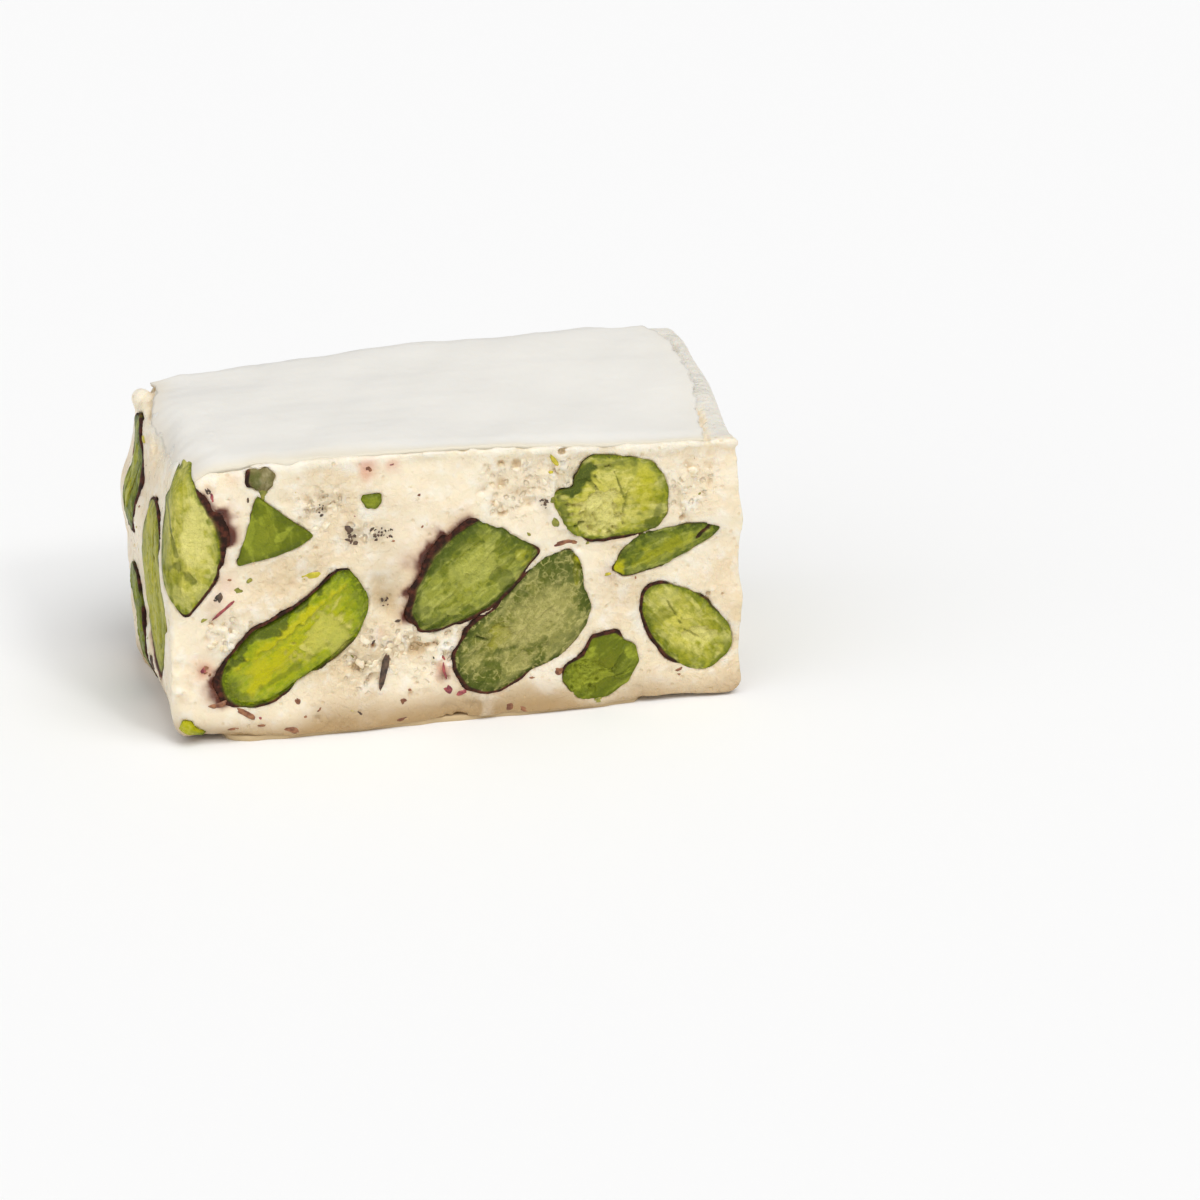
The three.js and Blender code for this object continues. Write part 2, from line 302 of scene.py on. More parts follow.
# ---- meshes ----
@dataclass
class Shape:
    """A mesh in the making: points in mm in the drawing frame, faces and values a point."""

    points: Array
    faces: list[list[int]]
    values: dict[str, Array] = field(default_factory=dict)

    def build(self, name: str, slot: str, finish: bpy.types.Material, *replaces: str) -> bpy.types.Object:
        """Makes the Blender object.

        Args:
            name: the piece's name.
            slot: the record's material slot; not used.
            finish: its material.
            replaces: the CAD nodes that it stands for.

        Returns:
            The object, riding on the bar's body.
        """
        mesh = bpy.data.meshes.new(name)
        mesh.from_pydata(((self.points + ROW_SHIFT) * MM).tolist(), [], self.faces)
        for key, value in self.values.items():
            vector = value.ndim == 2
            made = mesh.attributes.new(key, "FLOAT_VECTOR" if vector else "FLOAT", "POINT")
            made.data.foreach_set("vector" if vector else "value", value.astype(np.float32).ravel())
        mesh.polygons.foreach_set("use_smooth", np.ones(len(mesh.polygons), bool))
        mesh.materials.append(finish)
        mesh.update()
        piece = bpy.data.objects.new(name, mesh)
        bpy.context.collection.objects.link(piece)
        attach(piece, BODY)
        if replaces:
            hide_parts(*replaces)
        LOG.info("%s: %d points, %d faces", name, len(mesh.vertices), len(mesh.polygons))
        return piece


def joined(shapes: list[Shape]) -> Shape:
    """Shapes without values as one."""
    starts = np.cumsum([0] + [len(s.points) for s in shapes[:-1]])
    faces = [[i + start for i in f] for s, start in zip(shapes, starts) for f in s.faces]
    return Shape(np.concatenate([s.points for s in shapes]), faces)


# ---- finishes ----
def tone(code: str) -> tuple[float, float, float, float]:
    """Linear colour of an sRGB hex code.

    Args:
        code: six hex digits.

    Returns:
        Red, green, blue and alpha for a shader socket.
    """
    parts = [int(code[i : i + 2], 16) / 255 for i in (0, 2, 4)]
    r, g, b = (c / 12.92 if c <= 0.04045 else ((c + 0.055) / 1.055) ** 2.4 for c in parts)
    return (r, g, b, 1.0)


Socket = bpy.types.NodeSocket


class Dress:
    """The node tree of one material. Patterns lie in object coordinates, and their grain is in mm."""

    def __init__(self, name: str) -> None:
        """Starts an empty material."""
        self.material = bpy.data.materials.new(name)
        self.material.use_nodes = True
        self.tree = self.material.node_tree
        self.tree.nodes.clear()

    @cached_property
    def place(self) -> Socket:
        """Object coordinates."""
        return self.add("TexCoord").outputs["Object"]

    def add(self, kind: str, inputs: dict | None = None, **settings) -> bpy.types.Node:
        """Adds a node.

        Args:
            kind: the node's Blender type after "ShaderNode".
            inputs: socket name or number to a value, or to the socket that feeds it.
            settings: the node's own properties.

        Returns:
            The node.
        """
        node = self.tree.nodes.new("ShaderNode" + kind)
        for key, value in settings.items():
            setattr(node, key, value)
        for key, value in (inputs or {}).items():
            if isinstance(value, Socket):
                self.tree.links.new(value, node.inputs[key])
            else:
                node.inputs[key].default_value = value
        return node

    def value(self, name: str) -> Socket:
        """What the mesh carries under this name."""
        return self.add("Attribute", attribute_name=name).outputs["Fac"]

    def noise(self, grain: float, detail: float, **more: float) -> bpy.types.Node:
        """Noise with this grain."""
        inputs = {"Vector": self.place, "Scale": 1 / (grain * MM), "Detail": detail}
        return self.add("TexNoise", inputs | more)

    def cells(self, grain: float, place: Socket, **more) -> Socket:
        """Distances in a net of cells with this grain."""
        inputs = {"Vector": place, "Scale": 1 / (grain * MM)}
        return self.add("TexVoronoi", inputs, **more).outputs["Distance"]

    def shifted(self, colour: Socket, reach: float) -> Socket:
        """Object coordinates moved about by a noise's colour, by up to this many metres."""
        shift = self.add("VectorMath", {0: colour, 1: (reach,) * 3}, operation="MULTIPLY")
        return self.add("VectorMath", {0: self.place, 1: shift.outputs[0]}, operation="ADD").outputs[0]

    def span(self, value: Socket, low: float, high: float, start: float, end: float) -> Socket:
        """Carries low to high over to start to end."""
        return self.add("MapRange", {"Value": value, 1: low, 2: high, 3: start, 4: end}).outputs[0]

    def math(self, operation: str, *values: Socket | float, **settings) -> Socket:
        """One step of arithmetic."""
        return self.add("Math", dict(enumerate(values)), operation=operation, **settings).outputs[0]

    def ramp(self, value: Socket, *stops: tuple[float, str]) -> Socket:
        """Colour ramp through stops of position and hex code."""
        node = self.add("ValToRGB", {"Fac": value})
        while len(node.color_ramp.elements) < len(stops):
            node.color_ramp.elements.new(1.0)
        for element, (position, code) in zip(node.color_ramp.elements, stops):
            element.position, element.color = position, tone(code)
        return node.outputs["Color"]

    def over(self, colour: Socket | str, *layers: tuple[Socket | float, Socket | str]) -> Socket:
        """Lays colours over a first one.

        Args:
            colour: the first one, a socket or a hex code.
            layers: how much of each lies over the ones before, and its colour.

        Returns:
            The socket of the last colour.
        """
        for amount, top in layers:
            pair = [tone(c) if isinstance(c, str) else c for c in (colour, top)]
            colour = self.add("Mix", {0: amount, 6: pair[0], 7: pair[1]}, data_type="RGBA").outputs[2]
        return colour

    def bump(self, height: Socket, strength: float, distance: float) -> Socket:
        """Relief from a height."""
        node = self.add("Bump", {"Height": height, "Strength": strength, "Distance": distance})
        return node.outputs[0]

    def finish(
        self, colour: Socket | tuple, rough: Socket | float, soft: tuple = (), **more: Socket | float
    ) -> bpy.types.Material:
        """Adds the shader and the output.

        Args:
            colour: base colour.
            rough: roughness.
            soft: weight, scale in metres and, where it is set, radius of the light under the surface.
            more: other sockets of the shader by name, with _ for a space.

        Returns:
            The material.
        """
        inputs = {"Base Color": colour, "Roughness": rough}
        inputs |= {name.replace("_", " "): value for name, value in more.items()}
        inputs |= dict(zip(("Subsurface Weight", "Subsurface Scale", "Subsurface Radius"), soft))
        shader = self.add("BsdfPrincipled", inputs)
        self.add("OutputMaterial", {"Surface": shader.outputs[0]})
        return self.material


@dataclass(frozen=True)
class CutNougat:
    """Whipped honey nougat, cream and slightly translucent: satin where the knife smeared it, dull where it
    tore."""

    cream: str = "F6E7CB"
    warm: str = "ECD5AE"
    white: str = "FBF3E4"
    # hollow and pore are the tan of painted shade, laid into pits, small dots, torn pores and deep places
    hollow: str = "D6B682"
    pore: str = "BE9A62"
    halo: str = "C98F64"
    stain: str = "70361F"
    crust: str = "3A1C12"
    # grey is painted shade in the dents, the furrow between the kernels and deep pores
    grey: str = "7A6A4C"
    blush: str = "DE9070"
    # low darkens the foot: partly the nougat's own tan, partly painted shade
    low: str = "B4966A"
    paper: str = "E6E2D8"

    def material(self) -> bpy.types.Material:
        """Makes the material."""
        d = Dress("nougat_whipped_knife_cut")
        torn, stain = d.value("torn"), d.value("stain")
        cloud = d.noise(9, 3.0).outputs["Fac"]
        fleck = d.noise(1.6, 4.0)
        flecks = fleck.outputs["Fac"]
        fine = d.noise(0.6, 5.0, Roughness=0.6, Distortion=0.6).outputs["Fac"]
        # dots and pores: small pits and torn holes, which the finish darkens as painted shade
        dots = d.span(d.cells(1.15, d.place), 0.2, 0.08, 0, 0.35)
        holes = d.span(d.cells(0.85, d.shifted(fleck.outputs["Color"], 0.0011)), 0.34, 0.16, 0, 1)
        pores = d.math("MULTIPLY", holes, d.span(torn, 0.1, 0.6, 0, 1))
        brown = d.ramp(stain, (0.05, self.halo), (0.55, self.stain), (1, self.crust))
        colour = d.over(
            d.ramp(cloud, (0.4, self.cream), (0.72, self.warm)),
            (d.span(flecks, 0.5, 0.66, 0, 0.6), self.white),
            # the darker foot: partly its own tan, partly painted shade
            (d.value("low"), self.low),
            # raised crests whiter: painted highlight, with the torn nougat's own white crumbs where it tore
            (d.value("crest_white_and_highlight"), self.white),
            # painted shade: tan in the small dots, the torn pores and the deep places
            (dots, self.hollow),
            (d.math("MULTIPLY", pores, 0.2), self.pore),
            (d.value("hollow"), self.hollow),
            # painted shade: grey in the dents, the furrow and deep pores
            (d.value("grey"), self.grey),
            (d.value("blush"), self.blush),
            (d.span(stain, 0, 0.7, 0, 1), brown),
            (d.value("paper"), self.paper),
        )
        rough = d.math("ADD", d.span(torn, 0, 1, 0.34, 0.46), d.span(flecks, 0.35, 0.7, -0.08, 0.12))
        height = d.math("SUBTRACT", d.math("SUBTRACT", d.math("ADD", flecks, fine), dots), pores)
        broken = d.math("MULTIPLY_ADD", torn, 0.35, d.span(cloud, 0.4, 0.62, 0.42, 0.9))
        bump = d.bump(d.math("MULTIPLY", height, broken), 0.85, 0.00042)
        return d.finish(colour, rough, (0.3, 0.0016, (1.0, 0.72, 0.45)), Normal=bump, IOR=1.47)


@dataclass(frozen=True)
class CutKernel:
    """Cut pistachio: oily green flesh, darkest under the skin, with dry pale crumbs where it broke."""

    name: str
    rim: str
    mid: str
    flesh: str
    heart: str
    pale: str = "D0C868"
    dark: str = "4E5A18"
    yellow: str = "BEB80C"
    skin: str = "2C1911"
    skin_red: str = "5C3022"
    gloss: float = 0.4
    drawn: float = 0.5  # how strongly the knife's pale drag lines show
    net: float = 0.0  # how strongly a net of dry pale cracks shows

    def cracks(self, d: Dress, mottle: Socket) -> Socket:
        """How much of the pale net lies at a place."""
        seat = d.shifted(d.noise(1.3, 3.0).outputs["Color"], 0.0034)
        line = d.span(d.cells(1.25, seat, feature="DISTANCE_TO_EDGE"), 0.12, 0, 0, 1)
        return d.math("MULTIPLY", line, d.span(mottle, 0.44, 0.6, 0, self.net))

    def material(self) -> bpy.types.Material:
        """Makes the material."""
        d = Dress("pistachio_cut_" + self.name)
        pale, skin = d.value("pale"), d.value("skin")
        along = d.add("Attribute", attribute_name="cut").outputs["Vector"]
        drawn = d.add("Mapping", {"Vector": along, "Scale": (0.28, 1.0, 1.0)}).outputs[0]
        fibre = d.add("TexNoise", {"Vector": drawn, "Scale": 1.3, "Detail": 5.0}).outputs["Fac"]
        mottle, fine, grain = (d.noise(*p).outputs["Fac"] for p in ((0.55, 4.0), (0.22, 2.0), (0.13, 2.0)))
        reach = d.math("ADD", d.value("inside"), d.span(mottle, 0.3, 0.7, -0.24, 0.24))
        colour = d.over(
            d.ramp(reach, (0, self.rim), (0.16, self.mid), (0.42, self.flesh), (0.85, self.heart)),
            (d.span(fibre, 0.52, 0.64, 0, self.drawn), self.pale),
            (d.span(mottle, 0.5, 0.38, 0, 0.5), self.mid),
            (d.value("yellow"), self.yellow),
            (d.value("dark"), self.dark),
            (pale, self.pale),
            (d.span(grain, 0.46, 0.32, 0, 0.3), self.mid),
        )
        if self.net:
            colour = d.over(colour, (self.cracks(d, mottle), self.pale))
        colour = d.over(colour, (skin, d.ramp(mottle, (0.42, self.skin), (0.68, self.skin_red))))
        rough = d.span(d.math("MAXIMUM", pale, skin, use_clamp=True), 0, 1, self.gloss, 0.72)
        height = d.math("MULTIPLY_ADD", grain, 0.2, d.math("ADD", mottle, fine))
        bump, soft = d.bump(height, 0.6, 0.0002), (0.08, 0.0007, (0.8, 1.0, 0.3))
        return d.finish(colour, rough, soft, Normal=bump, IOR=1.46, Specular_IOR_Level=0.2)


@dataclass(frozen=True)
class WaferPaper:
    """Edible wafer paper of starch: a dry matt white with faint grey streaks along the sheet."""

    name: str = "wafer_paper_pressed_starch"
    white: str = "E6E3DC"
    streak: str = "D9D7D3"
    warm: str = "DFD2B4"
    tan: str = "D8C6A6"
    pink: str = "E3B9C4"
    ring_at: tuple[float, float, float] = (-4.0, -11.6, 26.5)  # a faint arc of fruit juice
    ring_radius: float = 1.0

    def juice(self, d: Dress) -> Socket:
        """How much of the arc of juice lies at a place."""
        middle = tuple((np.array(self.ring_at) + ROW_SHIFT) * MM)
        away = d.add("VectorMath", {0: d.place, 1: middle}, operation="DISTANCE").outputs["Value"]
        off = d.math("ABSOLUTE", d.math("SUBTRACT", away, self.ring_radius * MM))
        y = d.add("SeparateXYZ", {0: d.place}).outputs["Y"]
        half = d.span(y, middle[1], middle[1] + 0.0005, 0, 1)
        return d.math("MULTIPLY", half, d.span(off, 0.00022, 0.00005, 0, 0.55))

    def material(self) -> bpy.types.Material:
        """Makes the material."""
        d = Dress(self.name)
        drawn = d.add("Mapping", {"Vector": d.place, "Scale": (0.14, 1.0, 1.0)}).outputs[0]
        streaks = d.add("TexNoise", {"Vector": drawn, "Scale": 1 / (7.0 * MM), "Detail": 4.0}).outputs["Fac"]
        fibre = d.noise(0.5, 4.0).outputs["Fac"]
        colour = d.over(
            self.white,
            (d.span(streaks, 0.5, 0.74, 0, 0.7), self.streak),
            (d.value("warm"), self.warm),
            (self.juice(d), self.pink),
            (d.value("fade"), self.tan),
        )
        rough = d.span(fibre, 0.3, 0.7, 0.72, 0.86)
        soft = (0.15, 0.001, (1.0, 0.85, 0.7))
        return d.finish(colour, rough, soft, Normal=d.bump(fibre, 0.2, 0.0001), IOR=1.4)


@dataclass(frozen=True)
class Fleck:
    """A small bit in the nougat: crumb of kernel, shred of skin or crumb of nougat, rubbed moist."""

    name: str
    light: str
    deep: str
    gloss: float = 0.5

    def material(self) -> bpy.types.Material:
        """Makes the material."""
        d = Dress(self.name)
        mottle = d.noise(0.5, 3.0).outputs["Fac"]
        shades = d.ramp(mottle, (0.35, self.deep), (0.65, self.light))
        return d.finish(shades, self.gloss, (0.1, 0.0006), Normal=d.bump(mottle, 0.4, 0.0001))


class Cut(Enum):
    """How a kernel's cut looks."""

    BRIGHT = CutKernel("bright", "566608", "8E9C0C", "A3A910", "B4B40C", gloss=0.26, drawn=0.18)
    OLIVE = CutKernel("olive", "5A6408", "68720C", "727A10", "7A7E14", "A8B038", gloss=0.3)
    LIGHT = CutKernel("light_olive", "6A7014", "8C8E20", "A8A632", "B2B040")
    PALE = CutKernel("pale_heart", "5A6614", "8C901A", "ACA92C", "CAC254", "E2DA86", gloss=0.42)
    DEEP = CutKernel("deep", "3E4A0C", "647018", "868C20", "9A9C30", "C6C668", gloss=0.34)
    GREY = CutKernel("grey_green", "3F4A10", "566019", "74762A", "86843A", "BEB670", gloss=0.5, net=0.7)
    DRY = CutKernel("dry", "6A6038", "82784A", "8E8660", "989070", "B4AA84", gloss=0.6)

    @cached_property
    def finish(self) -> bpy.types.Material:
        """Its material, made once."""
        return self.value.material()


# ---- kernels ----
class Tint(Enum):
    """What a mark on a cut kernel is tinted with."""

    PALE = "pale"
    DARK = "dark"
    YELLOW = "yellow"
    SKIN = "skin"


@dataclass(frozen=True)
class Mark:
    """A patch or crease on a cut kernel: place and size on the face in mm, turn in degrees anticlockwise."""

    a: float
    z: float
    wide: float
    high: float
    turn: float
    tint: Tint
    amount: float  # of the tint
    sink: float = 0.0  # depth in mm
    soft: float = 0.6  # how gently its border fades
    crumb: float = 0.0  # depth of its grit in mm

    def share(self, a: Array, z: Array, seat: Array) -> Array:
        """How much of the mark lies at each point.

        Args:
            a: places along the side, mm.
            z: heights, mm.
            seat: the points themselves, for the wavering border.

        Returns:
            Shares from 0 to 1.
        """
        c, s = bearing(self.turn)
        da, dz = a - self.a, z - self.z
        p = (da * c + dz * s) / (self.wide / 2)
        q = (dz * c - da * s) / (self.high / 2)
        wobble = 0.6 * RAG.at(seat + self.a, max(0.6, self.high * 0.45)) + 0.35 * RAG.at(seat, 0.45)
        return smooth((1 - np.hypot(p, q) + wobble) / (0.6 * self.soft))


@dataclass(frozen=True)
class Skin:
    """A stretch of brown skin round a kernel: from and to in degrees on the face, and its width in mm."""

    start: float
    end: float
    width: float


@dataclass(frozen=True)
class Dent:
    """A nick in a kernel's outline: direction and half width in degrees, and depth in mm."""

    at: float
    half: float
    depth: float

    def cut(self, angle: Array) -> Array:
        """How deep it cuts at each angle."""
        flat = self.half * 0.4
        return self.depth * window(angle, self.at - flat, self.at + flat, self.half)


def window(angle: Array, start: float, end: float, soft: float) -> Array:
    """1 between two angles in degrees, fading to 0 over `soft` degrees outside them."""
    middle, half = (start + end) / 2, (end - start) / 2
    off = np.abs((angle - middle + 180) % 360 - 180)
    return smooth((half + soft - off) / soft)


@dataclass(frozen=True)
class Kernel:
    """A pistachio kernel sliced open by the knife, set in one side of the block. All in mm and degrees."""

    name: str
    side: Side
    at: Pair
    turn: float
    length: float
    width: float
    cut: Cut
    taper: float = 0.0  # share that it widens by towards its end
    bend: float = 0.0
    blunt: float = 2.2  # 2 is an oval, more is squarer
    yaw: float = 0.0  # turn of the cut about the upright
    pitch: float = 0.0  # turn of the cut about the side's length
    proud: float = 0.0  # how far it stands out
    crown: float = 0.12  # height of its middle over its rim
    bevel: float = 0.1  # depth of its worn rim
    crumb: float = 0.05  # depth of its grit
    flake: float = 0.5  # strength of its small planes
    fibre: float = 0.5  # strength of the knife's drag
    skins: tuple[Skin, ...] = ()
    dents: tuple[Dent, ...] = ()
    marks: tuple[Mark, ...] = ()
    corners: tuple[Pair, ...] = ()  # on the face; the plain form stands where there are none

    ROUND = 192  # points round the outline
    RINGS = 38  # rings of points on the cut
    COLLAR = 5  # rings of points on the skin
    WHOLE = 5.0  # a chip is shorter and takes a third of the points
    WALL = ((0.2, 0.01), (0.6, 0.04), (1.15, 0.14))  # depth, and how far the wall is drawn in there
    POCKET = 1.0  # depth of its seat
    REACH = 6.0  # longest slide onto the block's form
    LEAST_SKIN = 0.03
    DEEP = 2.6  # so far inside the outline the flesh has its inner colour
    SKIN_SINK = 0.13  # how far the skin's outer edge dips under the nougat

    @cached_property
    def centre(self) -> Array:
        """Its middle on the block's plain form."""
        return FORM.on(self.side, *self.at)

    @property
    def detail(self) -> tuple[int, int]:
        """Points round it and rings on its cut."""
        part = 1 if self.length > self.WHOLE else 3
        return self.ROUND // part, self.RINGS // part

    @cached_property
    def axes(self) -> tuple[Array, Array, Array]:
        """Directions of the cut's length, its width and into the block."""
        along = turned(self.side.along, UP, self.yaw)
        rise = turned(UP, along, self.pitch)
        inward = turned(turned(self.side.inward, UP, self.yaw), along, self.pitch)
        c, s = bearing(self.turn)
        return along * c + rise * s, rise * c - along * s, inward

    def rim_point(self, phi: Array) -> tuple[Array, Array]:
        """Outline before its nicks, as shares (s, t) of half length and half width."""
        return powered(np.cos(phi), 2 / self.blunt), powered(np.sin(phi), 2 / self.blunt)

    def flat(self, s: Array, t: Array) -> tuple[Array, Array]:
        """Place (u, v) in the plane of the cut for shares (s, t)."""
        u = s * self.length / 2
        v = t * self.width / 2 * (1 + self.taper * s) + self.bend * (1 - s * s)
        return u, v

    def face_angle(self, u: Array, v: Array) -> Array:
        """Direction of (u, v) from the kernel's middle in degrees on the face."""
        return np.degrees(np.arctan2(v, u)) + self.turn

    def radius(self, angle: Array) -> Array:
        """Distance from the kernel's middle to the straight sides between its corners, which are blunted.

        Args:
            angle: direction on the face, degrees.

        Returns:
            The distance in mm.
        """
        spokes = np.array(self.corners) - self.at
        turn = np.arctan2(spokes[:, 1], spokes[:, 0]) % (2 * np.pi)
        order = np.argsort(turn)
        turn, far = turn[order], np.hypot(*spokes[order].T)
        turn, far = np.append(turn, turn[0] + 2 * np.pi), np.append(far, far[0])
        total = 0.0
        for off in (-2.6, -0.9, 0.9, 2.6):
            t = (np.radians(angle + off) - turn[0]) % (2 * np.pi) + turn[0]
            k = np.clip(np.searchsorted(turn, t, side="right") - 1, 0, len(order) - 1)
            one, two = far[k] * np.sin(t - turn[k]), far[k + 1] * np.sin(turn[k + 1] - t)
            total = total + far[k] * far[k + 1] * np.sin(turn[k + 1] - turn[k]) / (one + two)
        return total / 4

    def stretch(self, u: Array, v: Array) -> Array:
        """How far the outline in this direction lies beyond its plain form, as a share."""
        size = np.hypot(u, v) + 1e-6
        angle = self.face_angle(u, v)
        arc = np.clip(size, 1.5, 6)
        seat = np.stack([u / size * arc + self.at[0] * 3, v / size * arc + self.at[1] * 3, size * 0], -1)
        waver = 0.12 * RAG.at(seat, 2.6) + 0.1 * RAG.at(seat, 1.1) + 0.035 * RAG.at(seat, 0.5)
        if self.corners:
            waver = waver + self.radius(angle) - size
        elif self.length > self.WHOLE:
            waver = waver + 0.1 * RAG.at(seat, 3.4)
        for dent in self.dents:
            waver = waver - dent.cut(angle)
        return waver / size

    def skin_width(self, u: Array, v: Array) -> Array:
        """Width of the skin outside the outline in this direction, mm."""
        angle = self.face_angle(u, v)
        size = np.hypot(u, v) + 1e-6
        arc = np.clip(size, 1.5, 7)
        seat = np.stack([u / size * arc - self.at[0], v / size * arc + self.at[1] * 2, size * 0 + 5], -1)
        ragged = 1 + 0.3 * RAG.at(seat, 3.2) + 0.09 * RAG.at(seat, 1.4)
        width = np.zeros_like(size)
        for skin in self.skins:
            width = np.maximum(width, skin.width * window(angle, skin.start, skin.end, 16))
        return self.LEAST_SKIN + width * np.clip(ragged, 0.35, 1.6)

    def beyond(self, points: Array) -> tuple[Array, Array]:
        """Distance of points outside the kernel with its skin, in the plane of its cut, and the skin there.

        Args:
            points: n x 3 places in mm.

        Returns:
            The distance, negative inside, and the width of the skin in that direction.
        """
        long, across, _ = self.axes
        d = points - self.centre
        u, v = d @ long, d @ across
        s = u / (self.length / 2)
        t = (v - self.bend * (1 - s * s)) / (self.width / 2 * np.clip(1 + self.taper * s, 0.15, None))
        share = (np.abs(s) ** self.blunt + np.abs(t) ** self.blunt) ** (1 / self.blunt) + 1e-6
        phi = np.arctan2(powered(t, self.blunt / 2), powered(s, self.blunt / 2))
        ru, rv = self.flat(*self.rim_point(phi))
        size = np.hypot(ru, rv)
        skin = self.skin_width(ru, rv)
        limit = 1 + self.stretch(ru, rv) + skin / size
        return (share - limit) * size, skin

    def plan(self) -> tuple[Array, Array, Array, Array, Array]:
        """The points of the cut and its skin in the plane of the cut, ring by ring, the middle last.

        Returns:
            Place (u, v), distance inside the outline, share of skin and how far the skin dips, 0 to 1.
        """
        count, rings = self.detail
        dense = np.linspace(0, 2 * np.pi, 2001)
        du, dv = self.flat(*self.rim_point(dense))
        length = np.concatenate([[0], np.cumsum(np.hypot(np.diff(du), np.diff(dv)))])
        phi = np.interp(np.linspace(0, length[-1], count, endpoint=False), length, dense)
        s0, t0 = self.rim_point(phi)
        ru, rv = self.flat(s0, t0)
        grown, skin = self.stretch(ru, rv), self.skin_width(ru, rv)
        size, none = np.hypot(ru, rv), np.zeros(count)
        found = []
        for k in 1 - (1 - np.linspace(1 / rings, 1, rings)) ** 1.15:
            far = k * (1 + grown * k)
            deep = (1 - k) * np.minimum(size, self.width / 2)
            found.append((*self.flat(far * s0, far * t0), deep, none, none))
        edge_u, edge_v = found[-1][:2]
        out_u, out_v = edge_u / np.hypot(edge_u, edge_v), edge_v / np.hypot(edge_u, edge_v)
        for k in range(1, self.COLLAR + 1):
            reach = skin * k / self.COLLAR
            brown = np.clip(skin / 0.25 - 0.12, 0.1, 1) * min(1.0, 0.5 + k / 3)
            dip = (k / self.COLLAR) ** 2 * np.clip(skin / 0.5, 0.25, 1)
            found.append((edge_u + out_u * reach, edge_v + out_v * reach, none, brown, dip))
        middle = (*self.flat(0, 0), self.width / 2, 0, 0)
        return tuple(np.append(np.concatenate(part), end) for part, end in zip(zip(*found), middle))

    def shape(self) -> Shape:
        """The kernel's mesh: its cut face with skin round it, and its wall down into the nougat."""
        long, across, inward = self.axes
        u, v, inside, skins, dip = self.plan()
        seat = self.centre + np.outer(u, long) + np.outer(v, across)
        values = {"inside": inside / self.DEEP, "pale": u * 0, "dark": u * 0, "yellow": u * 0, "skin": skins}
        rise = self.relief(seat, inside, skins, values) - self.SKIN_SINK * dip
        top = FORM.settle(seat, inward, self.proud + 0.05, self.REACH) - rise[:, None] * inward
        count, rings = self.detail
        layers = rings + self.COLLAR
        last = slice((layers - 1) * count, layers * count)
        wall = []
        for depth, draw in self.WALL:
            ring = top[last] + inward * depth
            middle = ring.mean(0)
            wall.append(middle + (ring - middle) * (1 - draw))
        bottom = wall[-1].mean(0) + inward * 0.3
        points = np.concatenate([top[:-1], *wall, top[-1:], bottom[None]])
        values = {
            k: np.concatenate([w[:-1], np.tile(w[last], len(wall)), w[-1:], w[last][:1]])
            for k, w in values.items()
        }
        cut = np.stack([u, v, rise], -1)
        walls = [cut[last] - (0, 0, 1 + k) for k in range(len(wall))]
        apart = np.array([*self.at, 0.0]) * 2.7  # so that no two kernels have the same grain
        values["cut"] = np.concatenate([cut[:-1], *walls, cut[-1:], cut[-1:]]) + apart
        faces = tube(layers + len(wall), count)
        if np.dot(np.cross(long, across), inward) > 0:
            faces = [f[::-1] for f in faces]
        return Shape(points, faces, values)

    def relief(self, seat: Array, inside: Array, skins: Array, values: dict[str, Array]) -> Array:
        """Height of the cut face over its plain level, and its tints.

        Args:
            seat: the points before they are settled on the block.
            inside: distance inside the outline.
            skins: share of skin.
            values: the tints, which this adds to.

        Returns:
            Height in mm.
        """
        level = smooth(inside / (self.width / 2))
        rise = self.crown * level - self.bevel * (1 - smooth(inside / 0.55)) ** 2 * (1 - 0.7 * skins)
        rise = rise + 0.07 * GRAIN.at(seat, 1.9) + 0.05 * GRAIN.at(seat, 0.8)
        inner = smooth(inside / 0.45)
        height, shade, ridge = self.facets(seat)
        rise = rise + self.flake * inner * height
        values["pale"] += self.flake * inner * (0.5 * np.clip(shade, 0, 1) + 0.5 * ridge)
        rise = rise + 0.05 * self.flake * inner * ridge
        values["dark"] += self.flake * inner * 0.5 * np.clip(-shade, 0, 1)
        long, across, _ = self.axes
        drawn = np.stack([seat @ long / 7, seat @ across, seat[:, 1] * 0 + self.at[0]], -1)
        drawn[:, 1] += 0.5 * GRAIN.at(seat, 2.6)
        fibres = sum(0.75**k * GRAIN.at(drawn + 7.3 * k, 0.55 / 2.03**k) for k in range(3))
        rise = rise + 0.03 * self.fibre * inner * fibres
        values["pale"] += self.fibre * inner * 0.3 * smooth((fibres - 0.2) / 0.4)
        values["dark"] += self.fibre * inner * 0.22 * smooth((-fibres - 0.2) / 0.4)
        coarse = smooth(GRAIN.at(seat + 40, 2.8) * 1.6)
        grit = np.abs(GRAIN.at(seat, 0.5)) + 0.5 * np.abs(GRAIN.at(seat + 9, 0.26))
        rise = rise - self.crumb * 0.7 * coarse * grit
        rise = rise + skins * (0.05 * RAG.at(seat, 1.4) - 0.04)
        flat = seat - self.centre
        a = flat @ self.side.along + self.at[0]
        z = flat[:, 2] + self.at[1]
        for mark in self.marks:
            share = mark.share(a, z, seat) * (1 - skins)
            rise = rise - mark.sink * share - mark.crumb * share * grit
            key = mark.tint.value
            values[key] = np.maximum(values[key], mark.amount * share)
        values["pale"] = np.clip(values["pale"], 0, 1) * (1 - 0.8 * np.clip(values["dark"], 0, 1))
        return rise

